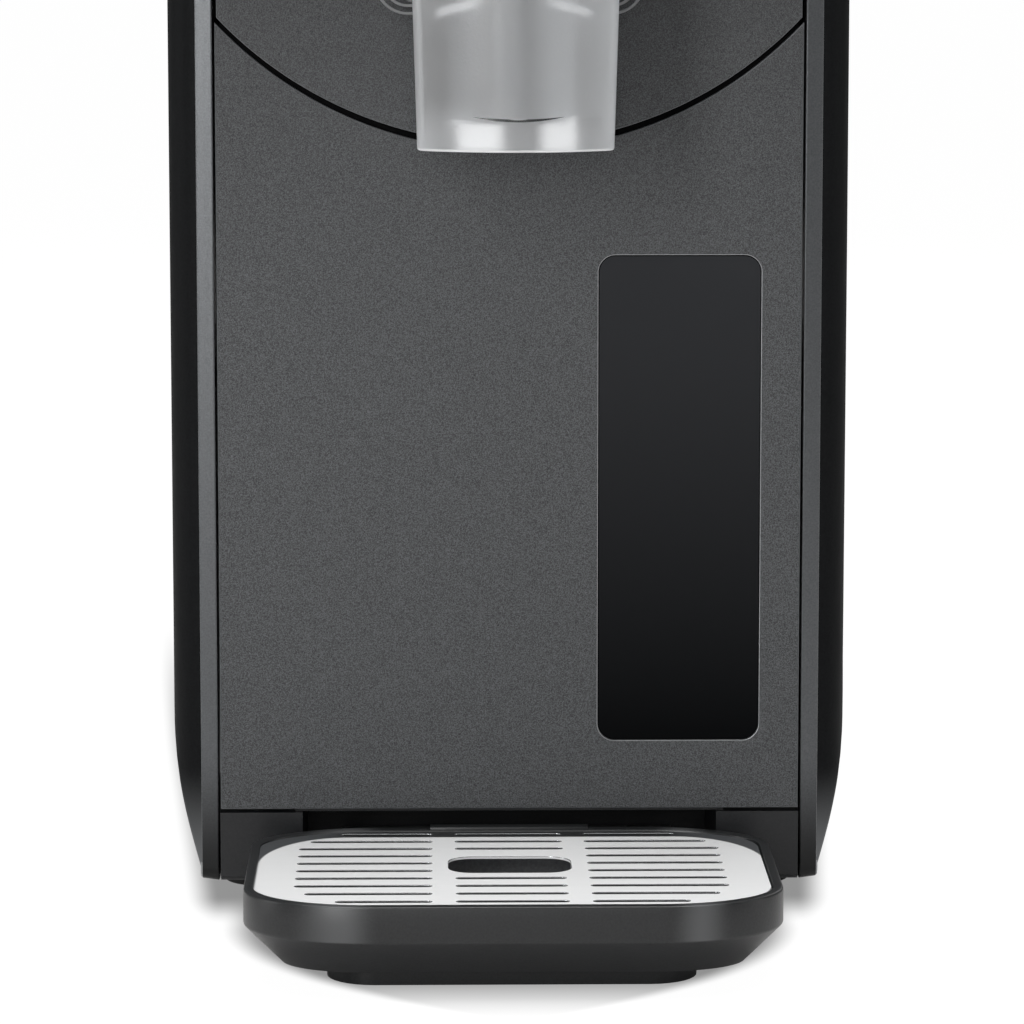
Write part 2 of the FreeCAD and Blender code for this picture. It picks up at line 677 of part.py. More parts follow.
trough_y = ("panel_rim + seat", "tower_y - seat")
trough_long = "tower_y - panel_rim - 2 * seat"
outer_pipe = rod("trough_outer", "Y", "cradle_r + cradle_wall", ("0", trough_y[0], "axis_z"), trough_long)
inner_pipe = rod("trough_inner", "Y", "cradle_r", ("0", "panel_rim", "axis_z"), "tower_y - panel_rim")
upper_half = box("trough_upper_half", ("-frame_in - 9", "frame_in + 9"), ("0", "tower_y + 1"),
                 ("deck_z - seat", "body_z"))
half_pipe = cut("trough_half", outer_pipe, inner_pipe, upper_half)
wings = [box(f"trough_wing_{side}", limits, trough_y, ("deck_z - seat - cradle_wall", "deck_z - seat"))
         for side, limits in (("right", ("cradle_r + 0.5", "frame_in - seat")),
                              ("left", ("-frame_in + seat", "-cradle_r - 0.5")))]
rail_disc = cut("rail_ring",
                rod("rail_outer", "Y", "cradle_r + 0.5", ("0", trough_y[0], "axis_z"), trough_long),
                rod("rail_inner", "Y", "tank_r + rest_gap", ("0", "panel_rim", "axis_z"), "tower_y"))
rail_slices = [box(f"rail_slice_{side}", limits, ("0", "tank_back - rest_gap"),
                   ("axis_z - cradle_r - 2", "axis_z - 20"))
               for side, limits in (("right", ("rail_x", "rail_x + rail_w")),
                                    ("left", ("-rail_x - rail_w", "-rail_x")))]
rails = common("rails", rail_disc, fuse("rail_slices", *rail_slices))
node(fuse("cradle", half_pipe, rails, *wings), "tank_cradle")


# Plinth with the recess that takes the drip tray, base pan and feet

plinth_top = "panel_low - plinth_gap"
plinth_raw = box("plinth_block", ("-plinth_half", "plinth_half"), ("0.8", "plinth_y"),
                 ("base_z", plinth_top))
recess = box("plinth_recess", ("-recess_half", "recess_half"), ("-1", "recess_y"),
             ("base_z - 1", f"{plinth_top} + 1"))
roof = box("recess_roof", ("-recess_half - 2", "recess_half + 2"), ("panel_wall + 0.6", "plinth_y"),
           (plinth_top, f"{plinth_top} + pan_t"))
plinth = fuse("plinth_joined", cut("plinth_cut", plinth_raw, recess), roof)
node(common("plinth_fitted", plinth, between), "plinth")

pan = box("base_pan_plate", ("-plinth_half", "plinth_half"),
          ("plinth_y + seat", "body_depth - rear_t - seat"),
          ("base_z", "base_z + pan_t"))
node(common("base_pan_fitted", pan, between), "base_pan")

feet = [rod(f"foot_{side}_{end}", "Z", "foot_r", (x, y, "0"), "base_z")
        for side, x in (("left", "-foot_x"), ("right", "foot_x"))
        for end, y in (("front", "foot_front_y"), ("rear", "foot_rear_y"))]
feet_soft = [rounded(f"{foot.Name}_soft", foot, "1.2", lambda edge: edge.BoundBox.ZMax < 0.01)
             for foot in feet]
node(group("feet", *feet_soft), "feet")


# Drip tray: an upright band, a bevel below it, a foot and a tongue under the housing

tray_x = ("-tray_half", "tray_half")
tray_y = ("-tray_reach", "-tray_rear")
bowl = plate("tray_bowl", "Z", tray_x, tray_y, "tray_low", "tray_top - tray_low", "tray_round")
upright = bowl.Tip
under = [f"Edge{number}" for number, edge in enumerate(upright.Shape.Edges, 1)
         if edge.BoundBox.ZMax < 0.01]
bevel = bowl.newObject("PartDesign::Chamfer", "tray_bevel_cut")
bevel.Base = (upright, under)
bevel.setExpression("Size", formula("tray_bevel"))
bowl.Tip = bevel
foot = plate("tray_foot", "Z", ("-tray_foot_half", "tray_foot_half"),
             ("-tray_reach + tray_foot_front", "-tray_reach + tray_foot_front + tray_foot_y"), "0",
             "tray_low + 0.5", "tray_round / 2")
tongue = box("tray_tongue", ("-tongue_half", "tongue_half"),
             ("-tray_rear - tray_bevel - 1", "recess_y - rest_gap"),
             ("tongue_low", "tongue_low + tongue_t"))
seat_cut = plate("grille_seat", "Z", ("-grille_half - grille_gap", "grille_half + grille_gap"),
                 ("-grille_front - grille_gap", "-grille_rear + grille_gap"), "grille_low",
                 "tray_top - grille_low + 1", "grille_r + grille_gap")
well = plate("tray_well", "Z", ("-grille_half + ledge", "grille_half - ledge"),
             ("-grille_front + ledge", "-grille_rear - ledge"), "tray_low + tray_bevel",
             "grille_low - tray_low - tray_bevel + 1", "grille_r - ledge")
sump_in = "tray_bevel + ledge"
sump = plate("tray_sump", "Z", (f"-tray_half + {sump_in}", f"tray_half - {sump_in}"),
             (f"-tray_reach + {sump_in}", f"-tray_rear - {sump_in}"), "tray_low + tray_floor",
             "tray_bevel", f"tray_round - {sump_in}")
rim_tab = box("tray_rim_tab", ("-rim_tab_half", "rim_tab_half"),
              ("-grille_rear + grille_gap", "-tray_rear"),
              ("tray_top - 1", "tray_top + rim_tab_rise"))
tray = cut("drip_tray", fuse("tray_joined", bowl, foot, tongue, rim_tab), seat_cut, well, sump)
node(tray, "drip_tray")


# Grille: rows of slots in three columns and a finger hole

def slot_limits(row):
    """Ends of the three slots of a row; the outer ones shorten towards the rounded corners."""
    rows = int(value("slot_rows"))
    step = min(row, rows - 1 - row)
    shorten = {0: 10.5, 1: 2.8}.get(step, 0)
    outer = f"(slot_out - {shorten})"
    sides = [(f"-{outer}", "-slot_in"), ("slot_in", outer)]
    centre = value(f"slot_first + {row} * slot_pitch")
    clear = abs(centre - value("hole_y")) > value("hole_w / 2 + slot_w")
    return sides + ([("-slot_mid", "slot_mid")] if clear else [])


sheet = plate("grille_sheet", "Z", ("-grille_half", "grille_half"), ("-grille_front", "-grille_rear"),
              "grille_low", "grille_t", "grille_r")
openings = []
for row in range(int(value("slot_rows"))):
    middle = f"-slot_first - {row} * slot_pitch"
    for column, (left, right) in enumerate(slot_limits(row)):
        name = f"slot_{row}_{column}"
        openings.append(plate(name, "Z", (left, right),
                              (f"{middle} - slot_w / 2", f"{middle} + slot_w / 2"),
                              "grille_low - 1", "grille_t + 2", "slot_w / 2.02"))
openings.append(plate("finger_hole", "Z", ("-hole_half", "hole_half"),
                      ("-hole_y - hole_w / 2", "-hole_y + hole_w / 2"), "grille_low - 1",
                      "grille_t + 2", "hole_w / 3.2"))
node(cut("grille", sheet, *openings), "drip_grille")


# Tank: a clear trough-shaped tunnel, open to the rear, with the tap's clear body in front

def tunnel(name, inset, front, back):
    low = rod(f"{name}_low", "Y", f"tank_r - {inset}", ("0", front, "axis_z"), f"({back}) - ({front})")
    half = f"(tank_r - {inset})"
    high = slab(f"{name}_high", "Y",
                [(f"-{half}", "axis_z"), (half, "axis_z"), (half, f"tank_top - {inset}"),
                 (f"-{half}", f"tank_top - {inset}")],
                front, f"({back}) - ({front})", ((f"tank_round - {inset}", (2, 3)),))
    return fuse(name, low, high)


tank_shell = tunnel("tank_outer", "0", "-tank_front", "tank_back")
doc.recompute()
tank_face = value(f"-tank_front + {FACE}")
tank_soft = rounded("tank_soft", tank_shell, "tank_edge",
                    lambda edge: edge.BoundBox.YMax < tank_face + 0.01)
tank_room = tunnel("tank_room", "tank_wall", "-tank_front + tank_wall", "tank_back + 1")
apron_face = "-tank_front - apron_t"
apron = common("apron",
               slab("apron_slab", "Y",
                    [("-apron_half", "axis_z - apron_r + 5"), ("0", "axis_z - apron_r - 4"),
                     ("apron_half", "axis_z - apron_r + 5"), ("apron_half", "apron_top"),
                     ("-apron_half", "apron_top")],
                    apron_face, "apron_t", (("apron_round", (0, 2, 3, 4)),)),
               rod("apron_disc", "Y", "apron_r", ("0", f"{apron_face} - 1", "axis_z"), "apron_t + 3"))
tube = rod("valve_tube", "Z", "tube_r", ("0", "-tap_y", "tube_low"), "tube_top - tube_low")
bore = rod("valve_bore", "Z", "tube_bore", ("0", "-tap_y", "tube_low - 1"), "tube_top - tube_low + 2")
port_x = ("-port_half", "port_half")
port_z = ("port_low", "port_low + port_tall")
neck = box("port_neck", ("-port_half - port_wall", "port_half + port_wall"), ("-tap_y", "-tank_front"),
           ("port_low - port_wall", "port_low + port_tall + port_wall"))
port = plate("port", "Y", port_x, port_z, "-tap_y", "tap_y + tank_wall", "4")
fill_y = ("fill_front", "fill_front + fill_y")
fill = plate("fill_opening", "Z", ("-fill_half", "fill_half"), fill_y, "tank_top - tank_wall - 1",
             "tank_wall + 2", "6")
hook_low = "(tank_top + tongue_rise)"
hook_root = box("hook_root", ("-hook_half", "hook_half"), ("tank_back - hook_root", "tank_back"),
                ("tank_top - 1", f"{hook_low} + hook_t"))
hook = box("hook", ("-hook_half", "hook_half"), ("tank_back - 1", "hook_y"),
           (hook_low, f"{hook_low} + hook_t"))
hinge_y = "(fill_front + fill_y + hinge_back)"
hinge_z = "(tank_top + hinge_r + 0.6)"
ears = []
for side, low in (("right", "ear_in"), ("left", "-ear_in - ear_t")):
    foot_box = box(f"ear_foot_{side}", (low, f"{low} + ear_t"),
                   (f"{hinge_y} - hinge_r", f"{hinge_y} + hinge_r"),
                   ("tank_top - 1", hinge_z))
    eye = rod(f"ear_eye_{side}", "X", "hinge_r", (low, hinge_y, hinge_z), "ear_t")
    ears.append(fuse(f"ear_{side}", foot_box, eye))
pin_bore = rod("hinge_bore", "X", "hinge_pin_r + pin_gap", ("-ear_in - ear_t - 1", hinge_y, hinge_z),
               "2 * ear_in + 2 * ear_t + 2")
tank_solid = fuse("tank_joined", tank_soft, hook_root, hook, *ears)
port_in = plate("port_in_tank", "Y", port_x, port_z, "-tank_front - 1", "tank_wall + 2", "4")
node(cut("tank_cut", tank_solid, tank_room, port_in, fill, pin_bore), "tank")
node(cut("tap_body_cut", fuse("tap_body_joined", apron, tube, neck), bore, port), "tap_body")

seal = cut("seal_ring", tunnel("seal_outer", "-0.8", "tank_back + rest_gap", "tower_y"),
           tunnel("seal_inner", "tank_wall + 0.8", "tank_back - 1", "tower_y + 1"))
node(seal, "tank_seal")


# Fill lid with its seal and hinge pin

lid_y = ("fill_front - lid_lip", "fill_front + fill_y + lid_lip")
lid_top = plate("lid_plate", "Z", ("-fill_half - lid_lip", "fill_half + lid_lip"), lid_y,
                "tank_top + lid_seal_t", "lid_t", "9")
plug = plate("lid_plug_block", "Z", ("-fill_half + 1", "fill_half - 1"),
             ("fill_front + 1", "fill_front + fill_y - 1"), "tank_top - lid_plug",
             "lid_plug + lid_seal_t + 1", "5")
knuckle = rod("lid_knuckle", "X", "hinge_r", ("-ear_in + 0.4", hinge_y, hinge_z), "2 * ear_in - 0.8")
bridge = box("lid_bridge", ("-ear_in + 0.4", "ear_in - 0.4"), ("fill_front + fill_y - 2", hinge_y),
             (f"{hinge_z} - 1", f"{hinge_z} + 2.4"))
thumb = plate("lid_thumb", "Z", ("-12", "12"), ("fill_front - lid_lip - 7", "fill_front - lid_lip + 3"),
              "tank_top + lid_seal_t + 1", "lid_t - 2", "3")
lid_cut = rod("lid_bore", "X", "hinge_pin_r + pin_gap", ("-ear_in", hinge_y, hinge_z), "2 * ear_in")
node(cut("fill_lid", fuse("lid_joined", lid_top, plug, knuckle, bridge, thumb), lid_cut), "fill_lid")
node(rod("hinge_pin", "X", "hinge_pin_r", ("-ear_in - ear_t", hinge_y, hinge_z), "2 * ear_in + 2 * ear_t"),
     "lid_hinge_pin")
lid_ring = cut("lid_ring",
               plate("lid_ring_out", "Z", ("-fill_half - 2", "fill_half + 2"),
                     ("fill_front - 2", "fill_front + fill_y + 2"), "tank_top + 0.1", "lid_seal_t - 0.1",
                     "7"),
               plate("lid_ring_in", "Z", ("-fill_half + 1", "fill_half - 1"),
                     ("fill_front + 1", "fill_front + fill_y - 1"), "tank_top - 1", "lid_seal_t + 3", "5"))
node(lid_ring, "lid_seal")


# Spout cover: clear walls round the valve tube, open at the bottom and to the tank

def spout_block(name, inset, low, high, back):
    draft = "(spout_half_top - spout_half_low) / (spout_top - spout_low)"
    narrow = f"(spout_half_low - {inset} + (({low}) - spout_low) * {draft})"
    wide = f"(spout_half_low - {inset} + (({high}) - spout_low) * {draft})"
    corners = [(f"-{narrow}", low), (narrow, low), (wide, high), (f"-{wide}", high)]
    walls = slab(f"{name}_walls", "Y", corners, f"-spout_front + {inset}",
                 f"spout_front - {inset} - ({back})")
    bow = rod(f"{name}_bow", "Z", f"spout_bow - {inset}", ("0", "-spout_front + spout_bow", low),
              f"({high}) - ({low})")
    nearer = box(f"{name}_rear", ("-60", "60"), ("-spout_front + spout_bow", "0"), (low, high))
    return common(name, walls, fuse(f"{name}_plan", bow, nearer))


spout_back = "(tank_front + apron_t)"
spout_outer = spout_block("spout_outer", "0", "spout_low", "spout_top", spout_back)
front_y = value(f"-spout_front + spout_bow + {FACE}")
spout_soft = rounded("spout_soft", spout_outer, "spout_round",
                     lambda edge: edge.BoundBox.YMax < front_y and edge.BoundBox.ZLength > 50)
spout_inner = spout_block("spout_inner", "spout_wall", "spout_low - 1", "spout_top + 1",
                          f"{spout_back} - 1")
node(cut("spout", spout_soft, spout_inner), "spout_cover")


# Valve: plunger with two sealing rings, spring and the cap that holds the lever

plunger_high = "plunger_low + plunger_tall"
grooves = ["plunger_low + 3", f"{plunger_high} - 3"]
groove_cuts = [ring(f"groove_{number}", "Z", "tube_bore - plunger_gap - ring_r + 0.2", "ring_r",
                    ("0", "-tap_y", level)) for number, level in enumerate(grooves)]
plunger_core = fuse("plunger_core",
                    rod("plunger_body", "Z", "tube_bore - plunger_gap", ("0", "-tap_y", "plunger_low"),
                        "plunger_tall"),
                    rod("plunger_stem", "Z", "stem_r", ("0", "-tap_y", f"{plunger_high} - 1"),
                        f"stem_top - ({plunger_high}) + 1"))
node(cut("plunger", plunger_core, *groove_cuts), "valve_plunger")
node(group("plunger_rings",
           *[ring(f"seal_ring_{number}", "Z", "tube_bore - plunger_gap - ring_r + 0.2", "ring_r - 0.05",
                  ("0", "-tap_y", level)) for number, level in enumerate(grooves)]), "plunger_seals")
spring_out = "tube_bore - spring_gap"
spring_low = f"({plunger_high} + 0.1)"
spring_tall = f"(tube_top - {spring_low} - 0.1)"
node(cut("spring",
         rod("spring_outer", "Z", spring_out, ("0", "-tap_y", spring_low), spring_tall),
         rod("spring_inner", "Z", f"{spring_out} - spring_wire", ("0", "-tap_y", f"{spring_low} - 1"),
             f"{spring_tall} + 2")), "valve_spring")

cap_high = "(tube_top + cap_t)"
cap_body = rod("cap_body", "Z", "cap_r", ("0", "-tap_y", "cap_low"), f"{cap_high} - cap_low")
cap_room = rod("cap_room", "Z", "tube_r + cap_gap", ("0", "-tap_y", "cap_low - 1"),
               "tube_top - cap_low + 1")
cap_hole = rod("cap_hole", "Z", "stem_r + 0.4", ("0", "-tap_y", "tube_top - 1"), "cap_t + 2")
cap_arms = []
for side, low in (("right", "lever_half + 0.4"), ("left", "-lever_half - 0.4 - bracket_t")):
    arm = box(f"cap_arm_{side}", (low, f"{low} + bracket_t"), ("-tap_y + 4", "-pivot_y + pivot_eye"),
              ("tube_top", cap_high))
    post = box(f"cap_post_{side}", (low, f"{low} + bracket_t"),
               ("-pivot_y - pivot_eye", "-pivot_y + pivot_eye"),
               ("tube_top", "pivot_z"))
    eye = rod(f"cap_eye_{side}", "X", "pivot_eye", (low, "-pivot_y", "pivot_z"), "bracket_t")
    cap_arms += [arm, post, eye]
cross_arm = box("cap_cross", ("-lever_half - 0.4 - bracket_t", "lever_half + 0.4 + bracket_t"),
                ("-tap_y + 4", "-pivot_y + pivot_eye"), ("tube_top", "tube_top + 3"))
pivot_bore = rod("pivot_bore", "X", "pivot_r + pin_gap", ("-30", "-pivot_y", "pivot_z"), "60")
cap_solid = fuse("cap_joined",
                 rounded("cap_soft", cap_body, "2",
                         lambda edge: edge.BoundBox.ZMin > value(cap_high) - 0.01),
                 cross_arm, *cap_arms)
node(cut("cap", cap_solid, cap_room, cap_hole, pivot_bore), "tap_cap")

pin_half = "(lever_half + 0.4 + bracket_t)"
node(rod("pivot_pin", "X", "pivot_r", (f"-{pin_half}", "-pivot_y", "pivot_z"), f"2 * {pin_half}"),
     "tap_pivot_pin")
paddle_back = "(-tap_y - cap_r - paddle_gap)"
arm_low = "(stem_top + 0.4)"
hub = rod("lever_hub", "X", "pivot_eye - 0.5", ("-lever_half", "-pivot_y", "pivot_z"), "2 * lever_half")
arm = slab("lever_arm_bar", "X",
           [("-pivot_y", "pivot_z - pivot_eye + 0.8"), ("-pivot_y - pivot_eye - 6", arm_low),
            (f"{paddle_back} - paddle_t", arm_low), (f"{paddle_back} - paddle_t", f"{arm_low} + lever_arm"),
            ("-pivot_y - pivot_eye", f"{arm_low} + lever_arm"), ("-pivot_y", "pivot_z + pivot_eye - 0.8")],
           "-lever_half", "2 * lever_half")
paddle = box("lever_paddle", ("-paddle_half", "paddle_half"), (f"{paddle_back} - paddle_t", paddle_back),
             ("paddle_low", f"{arm_low} + lever_arm"))
paddle_soft = rounded("paddle_soft", paddle, "paddle_edge", lambda edge: True)
lever_bore = rod("lever_bore", "X", "pivot_r + pin_gap", ("-lever_half - 1", "-pivot_y", "pivot_z"),
                 "2 * lever_half + 2")
node(cut("lever", fuse("lever_joined", hub, arm, paddle_soft), lever_bore), "tap_lever")


# Cold drum and its sleeve, tower wall and drive

drum_long = "tower_y - drum_front"
drum_skin = rod("drum_skin", "Y", "drum_r", ("0", "drum_front", "axis_z"), drum_long)
drum_room = rod("drum_room", "Y", "drum_r - drum_wall", ("0", "drum_front + drum_wall", "axis_z"),
                "tower_y")
flange = rod("drum_flange", "Y", "drum_flange_r", ("0", "tower_y - drum_flange_t", "axis_z"),
             "drum_flange_t")
sleeve_r = "(shaft_r + shaft_gap + sleeve_wall)"
sleeve = rod("drum_sleeve", "Y", sleeve_r, ("0", "drum_front", "axis_z"), drum_long)
shaft_hole = rod("shaft_hole", "Y", "shaft_r + shaft_gap", ("0", "0", "axis_z"), "body_depth")
drum_walls = cut("drum_walls", fuse("drum_joined", drum_skin, flange), drum_room)
node(cut("drum", fuse("drum_with_sleeve", drum_walls, sleeve), shaft_hole), "evaporator_drum")

wall = box("tower_wall", ("-frame_in + seat", "frame_in - seat"), ("tower_y", "tower_y + wall_t"),
           ("axis_z - cradle_r - cradle_wall", "top_low - seat"))
wall_hole = rod("wall_hole", "Y", "shaft_r + 3", ("0", "tower_y - 1", "axis_z"), "wall_t + 2")
pipe_hole = rod("pipe_hole", "Y", "pipe_r + line_gap", ("0", "tower_y - 1", "line_z"), "wall_t + 2")
hook_notch = box("hook_notch", ("-hook_half - hook_gap", "hook_half + hook_gap"),
                 ("tower_y - 1", "tower_y + wall_t + 1"),
                 (f"{hook_low} - hook_gap", "body_z"))
node(cut("tower_wall_cut", wall, wall_hole, pipe_hole, hook_notch), "tower_front_wall")

bracket = cut("bracket", box("bracket_plate", ("-gearbox_half - 6", "gearbox_half + 6"),
                             ("bracket_y", "bracket_y + wall_t"),
                             ("axis_z - gearbox_half - 6", "axis_z + gearbox_half + 6")),
              rod("bracket_hole", "Y", "shaft_r + 3", ("0", "bracket_y - 1", "axis_z"), "wall_t + 2"),
              rod("bracket_pipe_hole", "Y", "pipe_r + line_gap", ("0", "bracket_y - 1", "line_z"),
                  "wall_t + 2"))
node(bracket, "motor_bracket")
bush = cut("shaft_bush",
           rod("bush_outer", "Y", "shaft_r + 3", ("0", "tower_y", "axis_z"), "2 * wall_t"),
           rod("bush_inner", "Y", "shaft_r + shaft_gap", ("0", "tower_y - 1", "axis_z"), "2 * wall_t + 2"))
node(bush, "shaft_bearing")
gearbox = box("gearbox_block", ("-gearbox_half", "gearbox_half"),
              ("gearbox_front", "motor_front"),
              ("axis_z - 6", "axis_z + gearbox_half"))
gearbox_low = rod("gearbox_round", "Y", "gearbox_half", ("0", "gearbox_front", "axis_z"), "gearbox_y")
gearbox_bore = rod("gearbox_bore", "Y", "shaft_r + shaft_gap", ("0", "gearbox_front - 1", "axis_z"),
                   "19")
node(cut("gearbox", fuse("gearbox_joined", gearbox_low, gearbox), gearbox_bore), "gearbox")
motor = rod("motor_can", "Y", "motor_r", ("0", "motor_front", "axis_z + 3"), "motor_y")
motor_end = rod("motor_boss", "Y", "8", ("0", "motor_front + motor_y", "axis_z + 3"), "motor_boss")
node(fuse("motor", rounded("motor_soft", motor, "3", round_edge), motor_end), "drive_motor")
node(rod("shaft", "Y", "shaft_r", ("0", "auger_front", "axis_z"), "gearbox_front + 18 - auger_front"),
     "drive_shaft")


# Auger: a helical blade, two long bars and a front spider on the shaft

def helix_blade():
    """The blade as one ribbon swept along a helix about the drum's axis."""
    thick = value("blade_t")
    inner = value("blade_in")
    outer = value("blade_out")
    start = value("auger_front + auger_hub_t / 2")
    tall = value("auger_back") - start - thick / 2
    helix = Part.makeHelix(value("blade_pitch"), tall, outer)
    corners = [(inner, -thick / 2), (outer, -thick / 2), (outer, thick / 2), (inner, thick / 2)]
    points = [FreeCAD.Vector(across, 0, up) for across, up in corners]
    section = Part.makePolygon(points + points[:1])
    ribbon = Part.Wire(helix.Edges).makePipeShell([section], True, True)
    ribbon.rotate(FreeCAD.Vector(), FreeCAD.Vector(1, 0, 0), -90)
    ribbon.translate(FreeCAD.Vector(0, start + value(FACE), value("axis_z")))
    thing = doc.addObject("Part::Feature", "auger_blade")
    thing.Shape = ribbon
    return thing


bars = []
for side, low in (("right", "blade_out - auger_bar"), ("left", "-blade_out")):
    bars.append(box(f"auger_bar_{side}", (low, f"{low} + auger_bar"), ("auger_front", "auger_back"),
                    ("axis_z - auger_bar / 2", "axis_z + auger_bar / 2")))
spider = box("auger_spider", ("-blade_out + 1", "blade_out - 1"),
             ("auger_front", "auger_front + auger_hub_t"),
             ("axis_z - auger_bar", "axis_z + auger_bar"))
hub_disc = rod("auger_hub", "Y", "auger_hub_r", ("0", "auger_front", "axis_z"), "auger_hub_t")
envelope = rod("auger_envelope", "Y", "blade_out - bar_inset", ("0", "auger_front", "axis_z"),
               "auger_back - auger_front")
auger_bones = common("auger_bones", fuse("auger_bars", hub_disc, spider, *bars), envelope)
auger_bore = rod("auger_bore", "Y", "shaft_r + press_gap", ("0", "0", "axis_z"), "drum_front")
node(fuse("auger", cut("auger_frame", auger_bones, auger_bore), helix_blade()), "auger")


# Tower top, rear cover with vents, mains inlet and screws

top_block = common("top_block",
                   box("top_raw", ("-frame_in + seat", "frame_in - seat"), ("tower_y", "body_depth"),
                       ("top_low", "body_z")), between)
top_room = box("top_room", ("-frame_in + 3", "frame_in - 3"),
               ("tower_y + top_wall", "body_depth - top_wall"),
               ("top_low - 1", "body_z - top_wall"))
button_at = ("0", "button_y")
button_hole = rod("button_hole", "Z", "button_r + button_gap", (*button_at, "body_z - top_wall - 1"),
                  "top_wall + 2")
button_shelf = box("button_shelf", ("-shelf_half", "shelf_half"), ("tower_y + top_wall - 1", "shelf_y"),
                   ("top_low + seat", "top_low + seat + shelf_t"))
stem_hole = rod("stem_hole", "Z", "button_stem_r + button_gap", (*button_at, "top_low"), "shelf_t + 2")
node(cut("tower_top",
         fuse("tower_top_joined", cut("tower_top_shell", top_block, top_room, button_hole), button_shelf),
         stem_hole), "tower_top_cover")

button_under = "(body_z - top_wall)"
button_cap = rod("button_cap", "Z", "button_r", (*button_at, f"{button_under} - 1"), "top_wall + 1")
button_soft = rounded("button_soft", button_cap, "0.8",
                      lambda edge: edge.BoundBox.ZMin > value("body_z") - 0.01)
collar_low = f"({button_under} - 0.3 - button_collar_t)"
collar = rod("button_collar", "Z", "button_collar_r", (*button_at, collar_low), "button_collar_t")
stem = rod("button_stem", "Z", "button_stem_r", (*button_at, "button_stem_low"),
           f"{collar_low} - button_stem_low + 1")
node(fuse("button", button_soft, collar, stem), "release_button")
shelf_top = "(top_low + seat + shelf_t)"
button_coil = f"({collar_low} - {shelf_top} - 0.2)"
node(cut("button_coil",
         rod("button_coil_out", "Z", "button_collar_r - 2.5", (*button_at, f"{shelf_top} + 0.1"),
             button_coil),
         rod("button_coil_in", "Z", "button_stem_r + 1", (*button_at, f"{shelf_top} - 1"),
             f"{button_coil} + 3")),
     "button_spring")

rear_raw = common("rear_block",
                  box("rear_raw", ("-plinth_half", "plinth_half"), ("rear_face", "body_depth"),
                      ("base_z", "top_low - seat")), between)
vents = []
for field, low in (("low", "vent_low"), ("high", "vent_low + vent_rise")):
    for row in range(int(value("vent_rows"))):
        level = f"{low} + {row} * vent_pitch"
        vents.append(plate(f"rear_vent_{field}_{row}", "Y", ("-vent_half", "vent_half"),
                           (level, f"{level} + vent_w"), "rear_face - 1", "rear_t + 2", "vent_w / 2.05"))
inlet_hole = box("inlet_hole", ("inlet_x - inlet_half", "inlet_x + inlet_half"),
                 ("rear_face - 1", "body_depth + 1"),
                 ("inlet_z - inlet_tall", "inlet_z + inlet_tall"))
screw_spots = [(x, z) for x in ("-plinth_half + 8", "plinth_half - 8")
               for z in ("base_z + 14", "axis_z - 60", "top_low - 14")]
screw_cuts = []
screws = []
for number, (x, z) in enumerate(screw_spots):
    head_y = "(body_depth - screw_head_t)"
    screw_cuts.append(rod(f"screw_sink_{number}", "Y", "screw_head_r + 0.2", (x, f"{head_y} - 0.1", z),
                          "screw_head_t + 1"))
    screw_cuts.append(rod(f"screw_hole_{number}", "Y", "screw_r + 0.2", (x, "rear_face - 1", z),
                          "rear_t"))
    head = rod(f"screw_head_{number}", "Y", "screw_head_r", (x, head_y, z), "screw_head_t - 0.2")
    shank = rod(f"screw_shank_{number}", "Y", "screw_r", (x, "body_depth - screw_long", z),
                "screw_long - 1")
    screws.append(fuse(f"screw_{number}", head, shank))
node(cut("rear_cover", rear_raw, inlet_hole, *vents, *screw_cuts), "rear_cover")
node(group("rear_screws", *screws), "rear_cover_screws")

inlet_block = box("inlet_block", ("inlet_x - inlet_half + seat", "inlet_x + inlet_half - seat"),
                  ("body_depth - inlet_deep", "body_depth - 0.4"),
                  ("inlet_z - inlet_tall + seat", "inlet_z + inlet_tall - seat"))
inlet_room = plate("inlet_room", "Y",
                   ("inlet_x - inlet_half + inlet_wall", "inlet_x + inlet_half - inlet_wall"),
                   ("inlet_z - inlet_tall + inlet_wall", "inlet_z + inlet_tall - inlet_wall"),
                   "body_depth - inlet_deep + inlet_wall", "inlet_deep", "3")
inlet_pins = [rod(f"inlet_pin_{side}", "Y", "1.2", (x, "body_depth - inlet_deep + 1", "inlet_z"),
                  "inlet_deep - 6")
              for side, x in (("left", "inlet_x - 4.5"), ("right", "inlet_x + 4.5"))]
node(fuse("inlet", cut("inlet_shell", inlet_block, inlet_room), *inlet_pins), "power_inlet")


# Cooling unit: compressor on grommets, condenser, fan and pipes

comp_shell = rod("comp_shell", "Z", "comp_r", ("comp_x", "comp_y", "comp_low"), "comp_tall")
comp_soft = rounded("comp_soft", comp_shell, "comp_r / 2.6",
                    lambda edge: edge.BoundBox.ZMin > value("comp_low + comp_tall") - 0.1)
comp_foot = plate("comp_foot", "Z", ("comp_x - comp_plate", "comp_x + comp_plate"),
                  ("comp_y - comp_plate", "comp_y + comp_plate"), "comp_low - 2", "2.5", "10")
comp_stub = rod("comp_stub", "Z", "pipe_r + 1", ("comp_x", "comp_y", "comp_low + comp_tall - 1"), "9")
node(fuse("compressor", comp_soft, comp_foot, comp_stub), "compressor")
reach = "(comp_plate - grommet_r - 1)"
grommets = [rod(f"grommet_{number}", "Z", "grommet_r",
                (f"comp_x {x} {reach}", f"comp_y {y} {reach}", "base_z + pan_t"),
                "comp_low - 2 - base_z - pan_t")
            for number, (x, y) in enumerate((("-", "-"), ("-", "+"), ("+", "-"), ("+", "+")))]
node(group("grommets", *grommets), "compressor_grommets")

